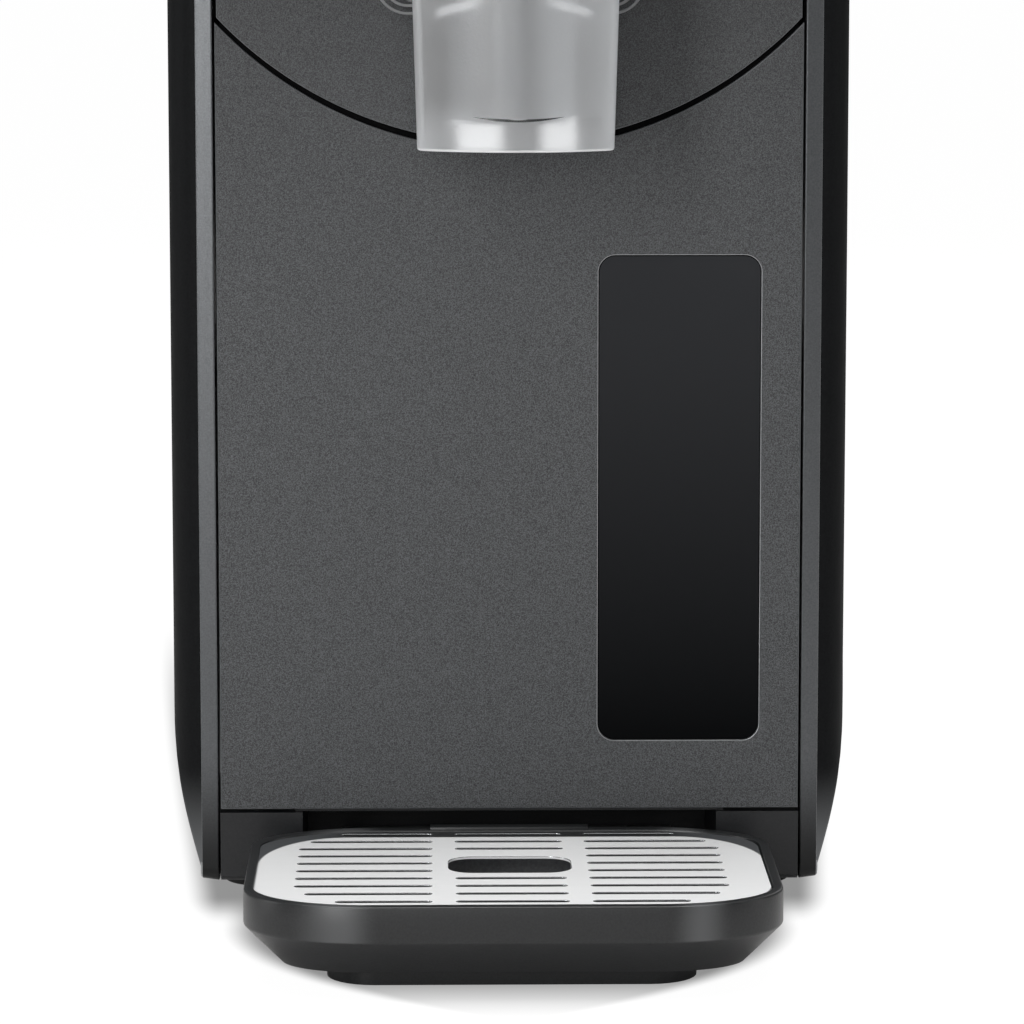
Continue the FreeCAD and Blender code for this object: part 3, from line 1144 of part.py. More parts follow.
cond_x = ("-frame_in + cond_gap", "-frame_in + cond_gap + cond_t")
cond_yy = ("cond_y", "cond_y + cond_long")
pan_top = "(base_z + pan_t)"
core = box("cond_core", cond_x, cond_yy, (pan_top, f"{pan_top} + cond_tall"))
gaps = []
for number in range(int(value("cond_long / fin_pitch")) - 1):
    front = f"cond_y + {number + 1} * fin_pitch - fin_slot / 2"
    for face, limits in (("left", (f"{cond_x[0]} - 1", f"{cond_x[0]} + fin_deep")),
                         ("right", (f"{cond_x[1]} - fin_deep", f"{cond_x[1]} + 1"))):
        gaps.append(box(f"fin_gap_{face}_{number}", limits, (front, f"{front} + fin_slot"),
                        (f"{pan_top} + 6", f"{pan_top} + cond_tall - 6")))
node(cut("condenser", core, *gaps), "condenser")

fan_y = "(cond_y + cond_long / 2)"
fan_z = f"({pan_top} + cond_tall / 2)"
shroud_x = (f"{cond_x[1]} + seat", f"{cond_x[1]} + seat + shroud_t")
shroud_block = box("shroud_block", shroud_x, cond_yy, (pan_top, f"{pan_top} + cond_tall"))
shroud_room = box("shroud_room", (f"{shroud_x[0]} - 1", f"{shroud_x[1]} - shroud_wall"),
                  ("cond_y + shroud_wall", "cond_y + cond_long - shroud_wall"),
                  (f"{pan_top} + shroud_wall", f"{pan_top} + cond_tall - shroud_wall"))
shroud_hole = rod("shroud_hole", "X", "fan_r + fan_gap", (f"{shroud_x[0]}", fan_y, fan_z), "shroud_t + 1")
stays = [box("fan_stay_long", (f"{shroud_x[1]} - shroud_wall", shroud_x[1]), cond_yy,
             (f"{fan_z} - 4", f"{fan_z} + 4")),
         box("fan_stay_tall", (f"{shroud_x[1]} - shroud_wall", shroud_x[1]),
             (f"{fan_y} - 4", f"{fan_y} + 4"),
             (pan_top, f"{pan_top} + cond_tall"))]
fan_axle_hole = rod("fan_axle_hole", "X", "2.6", (shroud_x[0], fan_y, fan_z), "shroud_t + 9")
node(cut("shroud",
         fuse("shroud_joined", cut("shroud_shell", shroud_block, shroud_room, shroud_hole), *stays),
         fan_axle_hole), "fan_shroud")
fan_back = f"({shroud_x[1]} - shroud_wall - 1)"
fan_hub = rod("fan_hub", "X", "fan_hub_r", (f"{fan_back} - fan_t + 1", fan_y, fan_z), "fan_t - 1")
fan_axle = rod("fan_axle", "X", "2.5", (f"{fan_back} - 2", fan_y, fan_z), "shroud_wall + 8")


def fan_blade(number):
    """One tilted blade, turned round the fan's axle to its place."""
    count = value("fan_blades")
    sheet_t = value("blade_sheet")
    root = value("fan_hub_r") - 2
    deep = value("fan_t") - 2
    blade = Part.makeBox(deep * 1.1, sheet_t, value("fan_r") - root)
    blade.translate(FreeCAD.Vector(-deep * 0.55, -sheet_t / 2, root))
    blade.rotate(FreeCAD.Vector(), FreeCAD.Vector(0, 0, 1), 38)
    blade.rotate(FreeCAD.Vector(), FreeCAD.Vector(1, 0, 0), 360 / count * number)
    middle = value(f"{fan_back} - fan_t / 2")
    blade.translate(FreeCAD.Vector(middle, value(f"{fan_y} + {FACE}"), value(fan_z)))
    thing = doc.addObject("Part::Feature", f"fan_blade_{number}")
    thing.Shape = blade
    return thing


blades = [fan_blade(number) for number in range(int(value("fan_blades")))]
fan_room = rod("fan_room", "X", "fan_r", (f"{fan_back} - fan_t", fan_y, fan_z), "fan_t + shroud_wall + 12")
node(common("fan", fuse("fan_joined", fan_hub, fan_axle, *blades), fan_room), "fan_rotor")
motor_x = f"({shroud_x[1]})"
node(cut("fan_drive", rod("fan_drive_can", "X", "fan_hub_r - 1", (motor_x, fan_y, fan_z), "20"),
         rod("fan_drive_bore", "X", "2.6", (f"{motor_x} - 1", fan_y, fan_z), "9")), "fan_motor")


def pipe(name, points, radius_word):
    """A refrigerant pipe along straight runs joined by tangent arcs."""
    radius = value(radius_word)
    spots = [FreeCAD.Vector(value(x), value(f"{y} + {FACE}"), value(z)) for x, y, z in points]
    runs = [after.distanceToPoint(before) for before, after in zip(spots, spots[1:])]
    room = min([runs[0], runs[-1], *(run / 2 for run in runs[1:-1])])
    bend = min(3 * radius, 0.9 * room)
    edges = []
    last = spots[0]
    for before, corner, after in zip(spots, spots[1:], spots[2:]):
        start, middle, end = rounded_corner(before, corner, after, bend)
        edges.append(Part.LineSegment(last, start).toShape())
        edges.append(Part.Arc(start, middle, end).toShape())
        last = end
    edges.append(Part.LineSegment(last, spots[-1]).toShape())
    path = Part.Wire(edges)
    section = Part.Wire(Part.Circle(spots[0], spots[1] - spots[0], radius).toShape())
    solid = path.makePipeShell([section], True, False)
    thing = doc.addObject("Part::Feature", name)
    thing.Shape = solid
    print(name, "volume over section times length", solid.Volume / (math.pi * radius ** 2 * path.Length))
    return thing


stub_top = "(comp_low + comp_tall + 8)"
node(pipe("suction", [("comp_x", "comp_y", stub_top), ("comp_x", "comp_y", "line_turn"),
                      ("0", "line_y", "line_turn"), ("0", "line_y", "line_z"),
                      ("0", "tower_y - 12", "line_z")], "pipe_r"), "suction_line")
drier_y = "(cond_y + cond_long + 24)"
node(pipe("discharge",
          [("comp_x - comp_r - 0.3", "comp_y", "comp_low + 84"),
           ("-frame_in + 16", "comp_y", "comp_low + 84"),
                        ("-frame_in + 16", f"{drier_y}", "comp_low + 84")], "pipe_r"), "discharge_line")
drier = rod("drier_can", "Y", "drier_r", ("-frame_in + 16", f"{cond_yy[1]} + 2", "comp_low + 84"),
            f"{drier_y} - ({cond_yy[1]}) - 2.3")
drier_stub = rod("drier_stub", "Y", "pipe_r", ("-frame_in + 16", cond_yy[1], "comp_low + 84"), "4")
node(fuse("drier", rounded("drier_soft", drier, "3", round_edge), drier_stub), "filter_drier")

board_x = "(-frame_in + 6)"
node(fuse("power_board_joined",
          box("power_board_plate", (board_x, f"{board_x} + board_t"), ("tower_y + 20", "body_depth - 20"),
              ("axis_z + 30", "top_low - 10")),
          box("power_board_cap", (f"{board_x} + board_t", f"{board_x} + 18"),
              ("tower_y + 30", "tower_y + 48"),
              ("axis_z + 40", "axis_z + 62")),
          rod("power_board_can", "X", "8", (f"{board_x} + board_t", "body_depth - 36", "axis_z + 56"),
              "20"),
          *[rod(f"standoff_{number}", "X", "3", ("-frame_in", y, z), "6.5")
            for number, (y, z) in enumerate([(y, z) for y in ("tower_y + 25", "body_depth - 25")
                                             for z in ("axis_z + 35", "top_low - 15")])]),
     "power_board")


# Checking and writing

doc.recompute()
for thing in doc.Objects:
    if {"Invalid", "Error"} & set(thing.State):
        raise RuntimeError(f"{thing.Name} failed: {thing.State}")
os.makedirs("parts", exist_ok=True)
for thing in NODES:
    shape = thing.Shape
    if shape.isNull() or not shape.isValid():
        raise RuntimeError(f"{thing.Label} has no valid shape")
    shape.exportStep(f"parts/{thing.Label}.step")
    limits = shape.BoundBox
    print(f"{thing.Label:22s} solids {len(shape.Solids)} volume {shape.Volume / 1000:8.2f} cm3 "
          f"x {limits.XMin:7.1f} {limits.XMax:7.1f} y {limits.YMin:7.1f} {limits.YMax:7.1f} "
          f"z {limits.ZMin:6.1f} {limits.ZMax:6.1f}")
print(len(NODES), "nodes")
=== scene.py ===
# %% [markdown]
# A home slush machine, dressed for a product picture. Its solids come ready made from CAD, with
# every joint in place, and stay where they are. This file gives each of them its finish, adds the
# fine parts that a moulder or a press would leave, and lights the whole like a studio picture.

# %% Load the solids
import bmesh
import bpy
import math
from mathutils import Matrix, Vector


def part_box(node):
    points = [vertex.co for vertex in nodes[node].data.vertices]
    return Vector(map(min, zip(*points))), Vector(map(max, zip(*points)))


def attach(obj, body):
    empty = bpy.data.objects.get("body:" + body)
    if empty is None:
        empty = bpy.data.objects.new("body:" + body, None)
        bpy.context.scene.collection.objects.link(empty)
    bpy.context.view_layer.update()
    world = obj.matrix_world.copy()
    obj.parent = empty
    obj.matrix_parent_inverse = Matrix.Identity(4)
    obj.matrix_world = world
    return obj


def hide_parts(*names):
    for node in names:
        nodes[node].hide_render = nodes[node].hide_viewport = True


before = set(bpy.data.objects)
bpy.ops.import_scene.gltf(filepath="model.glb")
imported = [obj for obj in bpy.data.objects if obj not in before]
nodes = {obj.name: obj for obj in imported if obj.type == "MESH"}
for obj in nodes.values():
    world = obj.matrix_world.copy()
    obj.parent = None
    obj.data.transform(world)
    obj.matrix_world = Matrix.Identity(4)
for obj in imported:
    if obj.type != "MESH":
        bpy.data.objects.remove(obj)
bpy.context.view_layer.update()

# %% [markdown]
# Sizes are written in millimetres, because that is how a part like this is drawn, and turned into
# Blender's metres in one place. The front panel's face is the plane that most things are set
# against, so it has a name.

# %% Millimetres to metres
def mm(*sizes):
    metres = [size / 1000 for size in sizes]
    return metres[0] if len(metres) == 1 else Vector(metres)


PANEL_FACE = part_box("front_panel")[0][1] * 1000
print("front panel face at y", round(PANEL_FACE, 2), "mm")

# %% [markdown]
# The camera stands where the photographer stood: well back with a long lens, a hand's width above
# the middle of the machine and looking slightly down, so that upright edges stay nearly parallel
# and the drip tray shows its top.

# %% Camera
camera = bpy.data.objects.new("camera", bpy.data.cameras.new("camera"))
bpy.context.scene.collection.objects.link(camera)
camera.data.sensor_width = 36
camera.data.lens = 161.72
camera.data.clip_end = 60
camera.location = mm(-19.8, PANEL_FACE - 1185.53, 269)
camera.rotation_euler = [math.radians(angle) for angle in (90 - 7.7985, 0, -0.98713)]
bpy.context.scene.camera = camera
print("camera", [round(v, 4) for v in camera.location])

# %% [markdown]
# The floor is a wide sheet of white paper. To the camera, also through glass, it gives off its own
# even white, as an overlit studio sweep does. To any other ray it is plain pale paper, so it throws
# light back up at the machine. Materials are built from a few small helpers.

# %% Material helpers
def start_material(name):
    material = bpy.data.materials.new(name)
    material.use_nodes = True
    tree = material.node_tree
    shader = tree.nodes["Principled BSDF"]
    return material, tree, shader


def add(tree, kind, **settings):
    made = tree.nodes.new(kind)
    for name, setting in settings.items():
        if name in made.inputs:
            made.inputs[name].default_value = setting
        else:
            setattr(made, name, setting)
    return made

# %% Sums, ramps and coordinates
def maths(tree, operation, *values):
    """One sum on numbers or on the outputs of other nodes."""
    step = add(tree, "ShaderNodeMath", operation=operation)
    for socket, value in zip(step.inputs, values):
        if isinstance(value, (int, float)):
            socket.default_value = value
        else:
            tree.links.new(value, socket)
    return step.outputs[0]


def ramp(tree, value, start, end, low=0.0, high=1.0, kind="SMOOTHSTEP"):
    """Runs from low at start to high at end."""
    spread = add(tree, "ShaderNodeMapRange", interpolation_type=kind)
    for label, number in (("From Min", start), ("From Max", end), ("To Min", low), ("To Max", high)):
        spread.inputs[label].default_value = number
    tree.links.new(value, spread.inputs["Value"])
    return spread.outputs["Result"]


def object_axes(tree):
    """X, Y and Z of a piece's own coordinates, as outputs."""
    where = add(tree, "ShaderNodeTexCoord")
    split = add(tree, "ShaderNodeSeparateXYZ")
    tree.links.new(where.outputs["Object"], split.inputs[0])
    return split.outputs

# %% Floor sheet
bm = bmesh.new()
bmesh.ops.create_circle(bm, cap_ends=True, radius=25, segments=96)
floor_mesh = bpy.data.meshes.new("floor")
bm.to_mesh(floor_mesh)
bm.free()
floor = bpy.data.objects.new("floor", floor_mesh)
bpy.context.scene.collection.objects.link(floor)

paper, tree, shader = start_material("paper_sweep")
shader.inputs["Roughness"].default_value = 0.9
shader.inputs["Specular IOR Level"].default_value = 0.1
ray = add(tree, "ShaderNodeLightPath")
seen = maths(tree, "MAXIMUM", ray.outputs["Is Camera Ray"], ray.outputs["Is Transmission Ray"])
paper_tone = add(tree, "ShaderNodeMix", data_type="RGBA")
paper_tone.inputs["A"].default_value = (0.80, 0.79, 0.785, 1)
paper_tone.inputs["B"].default_value = (0.04, 0.0395, 0.039, 1)
tree.links.new(seen, paper_tone.inputs["Factor"])
tree.links.new(paper_tone.outputs["Result"], shader.inputs["Base Color"])
floor_mesh.materials.append(paper)
print("floor", floor.name)

# %% [markdown]
# Lamps all round leave no hard shadow on white paper, only a soft grey close to where the machine
# stands. The paper's own light drops there: its distance from two outlines, the body and the tray,
# runs it from grey to white, quickly at the sides and slowly towards the back.

# %% Soft shadow on the floor
BODY_HALF, BODY_SPREAD, TRAY_HALF, TRAY_BEND, TRAY_ROUNDING = 75.5, 0.085, 65, 15, -6.5
REAR_START, REAR_REACH = 180, 330
SHADOW_GREY, PAPER_WHITE = 0.28, 0.98
axes = object_axes(tree)
aside = maths(tree, "ABSOLUTE", axes["X"])
behind = maths(tree, "SUBTRACT", axes["Y"], mm(PANEL_FACE))
ahead = maths(tree, "MULTIPLY", behind, -1)


def soft_shadow(half_width, front, side_reach, front_reach):
    """0 under the machine, 1 beyond the shadow, with one softness to the side and one ahead."""
    total = 0
    for past, reach in ((maths(tree, "SUBTRACT", aside, half_width), side_reach),
                        (maths(tree, "SUBTRACT", ahead, mm(front)), front_reach),
                        (maths(tree, "SUBTRACT", behind, mm(REAR_START)), REAR_REACH)):
        part = maths(tree, "DIVIDE", maths(tree, "MAXIMUM", past, 0), mm(reach))
        total = maths(tree, "ADD", maths(tree, "MULTIPLY", part, part), total)
    return ramp(tree, maths(tree, "SQRT", total), 0, 1)


deep = maths(tree, "MAXIMUM", behind, 0)
body_half = maths(tree, "MULTIPLY_ADD", deep, BODY_SPREAD, mm(BODY_HALF))
past_bend = maths(tree, "MAXIMUM", maths(tree, "SUBTRACT", ahead, mm(TRAY_BEND)), 0)
past_square = maths(tree, "MULTIPLY", past_bend, past_bend)
tray_half = maths(tree, "MULTIPLY_ADD", past_square, TRAY_ROUNDING, mm(TRAY_HALF))
body_shadow = soft_shadow(body_half, -22, 9.5, 36)
tray_shadow = soft_shadow(tray_half, 66, 11, 52)
outside = maths(tree, "MULTIPLY", body_shadow, tray_shadow)
near = ramp(tree, outside, 0, 1, SHADOW_GREY, PAPER_WHITE, "LINEAR")
shader.inputs["Emission Color"].default_value = (1, 1, 1, 1)
tree.links.new(maths(tree, "MULTIPLY", seen, near), shader.inputs["Emission Strength"])

# %% [markdown]
# The world behind is white to the camera, so no horizon shows. Everything else gets only a dim part
# of it, which keeps the black mouldings black.

# %% World
WORLD_DIM = 0.17
world = bpy.data.worlds.new("studio")
bpy.context.scene.world = world
world.use_nodes = True
tree = world.node_tree
back = tree.nodes["Background"]
ray = add(tree, "ShaderNodeLightPath")
level = ramp(tree, ray.outputs["Is Camera Ray"], 0, 1, WORLD_DIM, 1.0, "LINEAR")
tree.links.new(level, back.inputs["Strength"])
back.inputs["Color"].default_value = (1, 1, 1, 1)
bpy.context.scene.view_settings.view_transform = "Standard"

# %% [markdown]
# Large soft lamps do the work of a studio's soft boxes. The main one, from the left front, brightens
# the left frame. Two weak ones fill the panel and the right. Slim ones on both sides draw lines down
# the frames, one overhead lights the tray's steel plate, and one stands behind.

# %% Lamps
def soft_box(name, place, aim, wide, tall, power):
    lamp = bpy.data.lights.new(name, "AREA")
    lamp.shape = "RECTANGLE"
    lamp.size = wide
    lamp.size_y = tall
    lamp.energy = power
    holder = bpy.data.objects.new(name, lamp)
    holder.location = place
    holder.rotation_euler = (Vector(aim) - Vector(place)).to_track_quat("-Z", "Y").to_euler()
    bpy.context.scene.collection.objects.link(holder)
    return holder


middle = mm(0, 0, 180)
soft_box("main_lamp", (-0.64, -1.5, 0.56), middle, 0.34, 1.1, 11)
soft_box("front_lamp", (0.0, -1.7, 0.42), middle, 0.35, 0.3, 2.4)
soft_box("fill_lamp", (1.0, -1.25, 0.5), middle, 0.2, 1.0, 1.2)
soft_box("right_edge_lamp", (1.3, -0.2, 0.4), middle, 0.3, 1.2, 2.2)
soft_box("left_edge_lamp", (-1.3, -0.15, 0.4), middle, 0.3, 1.2, 4.5)
soft_box("top_lamp", (0.0, -0.22, 1.6), mm(0, -150, 20), 1.2, 0.5, 24)
soft_box("back_lamp", (0.4, 1.7, 1.1), middle, 1.6, 1.0, 7)
print("lamps placed")

# %% [markdown]
# Finishes that several materials share are node groups, built once: a fine speckle for textured
# paint and moulded plastic, soft smudges that vary the gloss, and long fine lines for rolled or
# brushed metal. Each reads Object coordinates, so the pattern keeps its size on every part.

# %% Shared pattern groups
def pattern_group(name, scale, stretch=1, depth=0, **noise):
    """Noise in a piece's own coordinates. With a depth it is sharper and has a relief, Height, too."""
    group = bpy.data.node_groups.new(name, "ShaderNodeTree")
    sockets = [("Scale", "INPUT", scale), ("Value", "OUTPUT", 0)]
    if depth:
        sockets += [("Depth", "INPUT", depth), ("Height", "OUTPUT", 0)]
    for label, way, value in sockets:
        socket = group.interface.new_socket(label, in_out=way, socket_type="NodeSocketFloat")
        socket.default_value = value
    given = group.nodes.new("NodeGroupInput")
    result = group.nodes.new("NodeGroupOutput")
    spot = add(group, "ShaderNodeTexCoord").outputs["Object"]
    if stretch != 1:
        longer = add(group, "ShaderNodeMapping")
        longer.inputs["Scale"].default_value = (stretch, 1, 1)
        group.links.new(spot, longer.inputs["Vector"])
        spot = longer.outputs["Vector"]
    texture = add(group, "ShaderNodeTexNoise", **noise)
    group.links.new(spot, texture.inputs["Vector"])
    group.links.new(given.outputs["Scale"], texture.inputs["Scale"])
    value = texture.outputs["Fac"]
    if depth:
        value = ramp(group, value, 0.3, 0.7, kind="LINEAR")
        group.links.new(maths(group, "MULTIPLY", value, given.outputs["Depth"]), result.inputs["Height"])
    group.links.new(value, result.inputs["Value"])
    return group


GRAIN = pattern_group("fine_grain", 1500.0, depth=0.5, Detail=2.0, Roughness=0.6)
SMUDGES = pattern_group("soft_smudges", 18.0, Detail=5.0, Roughness=0.65, Distortion=0.4)
BRUSHED = pattern_group("brushed_lines", 900.0, stretch=0.02, Detail=3.0, Roughness=0.7)
print("groups", [group.name for group in bpy.data.node_groups])

# %% [markdown]
# A colour is written as it looks on a screen and turned into the linear numbers that the renderer
# works with. One helper then makes a finish: a base colour that the grain lightens and darkens a
# little, a roughness that the smudges vary, and a relief from the same grain.

# %% Colours and groups
def screen(*levels):
    linear = []
    for level in levels:
        part = level / 255
        linear.append(part / 12.92 if part <= 0.04045 else ((part + 0.055) / 1.055) ** 2.4)
    return (*linear, 1.0)


def place_group(tree, group, **values):
    made = tree.nodes.new("ShaderNodeGroup")
    made.node_tree = group
    for name, value in values.items():
        made.inputs[name].default_value = value
    return made


def mix_colours(tree, factor, first, second):
    """Mixes two colours; each is a colour or the output of a node."""
    mixer = add(tree, "ShaderNodeMix", data_type="RGBA")
    for label, colour in (("A", first), ("B", second)):
        if isinstance(colour, tuple):
            mixer.inputs[label].default_value = colour
        else:
            tree.links.new(colour, mixer.inputs[label])
    tree.links.new(factor, mixer.inputs["Factor"])
    return mixer.outputs["Result"]

# %% Finish helper
def vary_gloss(tree, shader, pattern, low, high):
    """Lets a pattern run the roughness between two values."""
    tree.links.new(ramp(tree, pattern, 0, 1, low, high, "LINEAR"), shader.inputs["Roughness"])


def finish(name, dark, light, rough, grain=1500.0, bump=0.1, pattern=None, **constants):
    """A material whose colour runs between two shades with the grain, and whose gloss varies."""
    material, tree, shader = start_material(name)
    speckle = place_group(tree, pattern or GRAIN, Scale=grain)
    smudge = place_group(tree, SMUDGES)
    shader_colour = mix_colours(tree, speckle.outputs["Value"], screen(*dark), screen(*light))
    tree.links.new(shader_colour, shader.inputs["Base Color"])
    vary_gloss(tree, shader, smudge.outputs["Value"], *rough)
    if bump:
        relief = add(tree, "ShaderNodeBump", Strength=bump, Distance=0.0004)
        # The last output is the grain's relief, or the brushed lines themselves.
        tree.links.new(speckle.outputs[len(speckle.outputs) - 1], relief.inputs["Height"])
        tree.links.new(relief.outputs["Normal"], shader.inputs["Normal"])
    for label, value in constants.items():
        shader.inputs[label.replace("_", " ")].default_value = value
    return material

# %% [markdown]
# Some finishes carry painted light or shade over a piece: a painted shade where paint gets less light
# higher up, or a painted reflection where steel would mirror the dark machine. Two helpers mix such a
# second tone over a finished material, by a factor that is a ramp over the piece's own coordinates.

# %% Helpers for painted light and shade
def recolour(material, factor, colour):
    """Mixes another colour over a material's own, by a factor from 0 to 1."""
    shader = material.node_tree.nodes["Principled BSDF"]
    given = shader.inputs["Base Color"].links[0].from_socket
    mixed = mix_colours(material.node_tree, factor, given, colour)
    material.node_tree.links.new(mixed, shader.inputs["Base Color"])


def darken(material, start, end, depth, colour):
    """A painted shade: a darker tone that grows along Z from start to end."""
    tree = material.node_tree
    recolour(material, ramp(tree, object_axes(tree)["Z"], mm(start), mm(end), 0, depth), colour)

# %% [markdown]
# The front is textured graphite paint between two frames of satin metal-look plastic. The sides,
# plinth and tray are black mouldings with different gloss. The tank overhangs the front, so a painted
# shade darkens the paint towards it, and a painted shade darkens the frames at the foot, where they
# mirror the shaded floor.

# %% Housing finishes
graphite = finish("graphite_texture", (10, 12, 14), (84, 86, 88), (0.34, 0.42), grain=3600,
                  bump=0.35, Metallic=0.3)
# Painted shade: the paint darkens upwards, towards the overhanging tank.
darken(graphite, 140, 290, 0.42, screen(0, 0, 0))
frame_satin = finish("frame_satin", (68, 70, 72), (82, 84, 86), (0.28, 0.34), grain=2200, bump=0.06,
                     Metallic=0.5)
# Painted shade: the frames darken at the foot.
darken(frame_satin, 45, 12, 1.0, screen(14, 15, 16))
black_satin = finish("black_satin", (20, 21, 23), (29, 30, 32), (0.3, 0.38), grain=1800, bump=0.05,
                     Specular_IOR_Level=0.35)
side_black = finish("side_black", (12, 13, 14), (19, 20, 21), (0.5, 0.6), grain=1500, bump=0.05,
                    Specular_IOR_Level=0.06)
black_gloss = finish("black_gloss", (14, 15, 16), (20, 21, 22), (0.12, 0.2), grain=900, bump=0.0)
rubber = finish("black_rubber", (18, 18, 19), (28, 28, 29), (0.75, 0.9), grain=1200, bump=0.2)
print("housing finishes made")

# %% [markdown]
# The smooth black sides mirror the pale floor near their foot. That reflection is painted: a light band
# that grows towards the back, which the side's material gives off itself, since the textured gloss
# alone would lose it.

# %% Painted floor reflection in the sides
def floor_light(material, front_heights, rear_heights, front, rear, glow):
    """A painted reflection of the pale floor in the lower part of the sides, higher up towards the back."""
    tree = material.node_tree
    axes = object_axes(tree)
    ahead_part = ramp(tree, axes["Z"], mm(front_heights[1]), mm(front_heights[0]))
    rear_part = ramp(tree, axes["Z"], mm(rear_heights[1]), mm(rear_heights[0]))
    rearward = ramp(tree, axes["Y"], mm(front), mm(rear))
    both = maths(tree, "MAXIMUM", ahead_part, maths(tree, "MULTIPLY", rear_part, rearward))
    shader = tree.nodes["Principled BSDF"]
    lit = mix_colours(tree, both, screen(0, 0, 0), screen(*glow))
    tree.links.new(lit, shader.inputs["Emission Color"])
    shader.inputs["Emission Strength"].default_value = 1.0


floor_light(side_black, (12, 40), (22, 68), PANEL_FACE, PANEL_FACE + 280, (92, 93, 94))
print("floor light on the sides")

# %% [markdown]
# The touch panel's black glass carries a painted reflection: its colour runs from near black at the
# foot to a slightly lighter grey at the top, where the glass would mirror the lit studio. The fade is
# a ramp over the height of the glass itself, so it stays put from every side.

# %% Black glass
glass_low, glass_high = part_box("touch_panel")
touch_glass, tree, shader = start_material("touch_glass")
# Painted reflection: the glass lightens towards its top.
rise = ramp(tree, object_axes(tree)["Z"], glass_low[2], glass_high[2], kind="LINEAR")
tree.links.new(mix_colours(tree, rise, screen(3, 4, 5), screen(46, 47, 49)), shader.inputs["Base Color"])
smudge = place_group(tree, SMUDGES, Scale=30.0)
vary_gloss(tree, shader, smudge.outputs["Value"], 0.05, 0.09)
shader.inputs["Specular IOR Level"].default_value = 0.03
print("touch glass fades over", round(glass_high[2] - glass_low[2], 4), "m")

# %% [markdown]
# The tank is clear moulded plastic; the spout cover is the same plastic with a fine frost that
# scatters light, so part of it is solid white haze. Clear plastic lets light through with a slight
# blur and keeps a clean gloss on its faces.

# %% Clear and frosted plastic
def see_through(name, colour, rough, through, haze=0.0):
    material, tree, shader = start_material(name)
    shader.inputs["Transmission Weight"].default_value = through
    shader.inputs["IOR"].default_value = 1.49
    smudge = place_group(tree, SMUDGES, Scale=40.0)
    vary_gloss(tree, shader, smudge.outputs["Value"], rough, rough * 1.15 + 0.01)
    paler = [min(255, level + 6) for level in colour]
    tint = mix_colours(tree, smudge.outputs["Value"], screen(*colour), screen(*paler))
    tree.links.new(tint, shader.inputs["Base Color"])
    if haze:
        speckle = place_group(tree, GRAIN, Scale=1400.0)
        relief = add(tree, "ShaderNodeBump", Strength=haze, Distance=0.0003)
        tree.links.new(speckle.outputs["Height"], relief.inputs["Height"])
        tree.links.new(relief.outputs["Normal"], shader.inputs["Normal"])
    return material


clear = see_through("clear_plastic", (238, 241, 243), 0.02, 1.0)
frosted = see_through("frosted_plastic", (224, 225, 226), 0.285, 0.87, 0.12)
# A paler, more opaque copy of the frosted plastic, for painted highlights.
pale_highlight = see_through("pale_highlight_plastic", (222, 223, 224), 0.3, 0.3, 0.1)
tap_clear = see_through("tap_clear", (214, 216, 218), 0.05, 0.8)
# A pale see-through grey for the painted highlight lines on the apron's rim.
rim_highlight = see_through("rim_highlight", (132, 133, 134), 0.3, 0.45)
soft_seal = see_through("soft_seal", (196, 198, 199), 0.45, 0.35)
print("clear and frosted plastic made")

# %% [markdown]
# Plate and drum are brushed steel, so their pattern is the long lines. Pins, brackets and gearbox
# are plain bright steel, the compressor is painted black, and the pipes are copper.

# %% Metals and inner parts
plate_steel = finish("plate_steel", (234, 235, 235), (244, 244, 244), (0.34, 0.44), grain=1600, bump=0.03,
                     pattern=BRUSHED, Metallic=0.15)
drum_steel = finish("drum_steel", (190, 192, 194), (214, 216, 218), (0.2, 0.3), grain=900, bump=0.03,
                    pattern=BRUSHED, Metallic=1.0)
bright_steel = finish("bright_steel", (168, 171, 174), (196, 198, 201), (0.22, 0.34), grain=1600,
                      bump=0.05, Metallic=1.0)
white_plastic = finish("white_plastic", (224, 226, 228), (236, 237, 238), (0.3, 0.4), grain=700, bump=0.03)
black_steel = finish("black_steel", (26, 27, 29), (38, 39, 41), (0.22, 0.34), grain=600, bump=0.06)
fin_aluminium = finish("fin_aluminium", (170, 173, 176), (206, 208, 210), (0.3, 0.45), grain=1200,
                       bump=0.1, Metallic=1.0)
copper = finish("copper_tube", (160, 88, 58), (198, 118, 82), (0.22, 0.38), grain=500, bump=0.05,
                Metallic=1.0)
board_green = finish("board_green", (22, 60, 44), (34, 82, 60), (0.3, 0.4), grain=800, bump=0.05)
print(len(bpy.data.materials), "materials")

# %% [markdown]
# Every solid gets its finish by name. The list follows what each piece is made of on the real
# machine, so two parts of one moulding share one material.

# %% Dress the solids
DRESS = {
    graphite: ["front_panel", "upper_front_cover", "tower_top_cover"],
    frame_satin: ["right_side_frame", "left_side_frame"],
    side_black: ["right_side_panel", "left_side_panel"],
    black_satin: ["plinth", "tank_cradle", "drip_tray", "rear_cover",
                  "power_inlet", "fan_shroud", "fan_rotor", "fan_motor", "tower_front_wall", "base_pan",
                  "tap_cap", "release_button"],
    black_gloss: ["tap_lever"],
    touch_glass: ["touch_panel"],
    clear: ["tank", "fill_lid"],
    tap_clear: ["tap_body"],
    frosted: ["spout_cover"],
    soft_seal: ["tank_seal", "lid_seal", "plunger_seals"],
    plate_steel: ["drip_grille"],
    drum_steel: ["evaporator_drum"],
    bright_steel: ["lid_hinge_pin", "valve_spring", "button_spring", "tap_pivot_pin", "motor_bracket",
                   "gearbox", "drive_shaft", "rear_cover_screws"],
    white_plastic: ["valve_plunger", "auger", "shaft_bearing"],
    rubber: ["feet", "compressor_grommets"],
    black_steel: ["compressor", "drive_motor"],
    fin_aluminium: ["condenser"],
    copper: ["suction_line", "discharge_line", "filter_drier"],
    board_green: ["control_board", "power_board"],
}
for material, names in DRESS.items():
    for name in names:
        mesh = nodes[name].data
        mesh.materials.clear()
        mesh.materials.append(material)
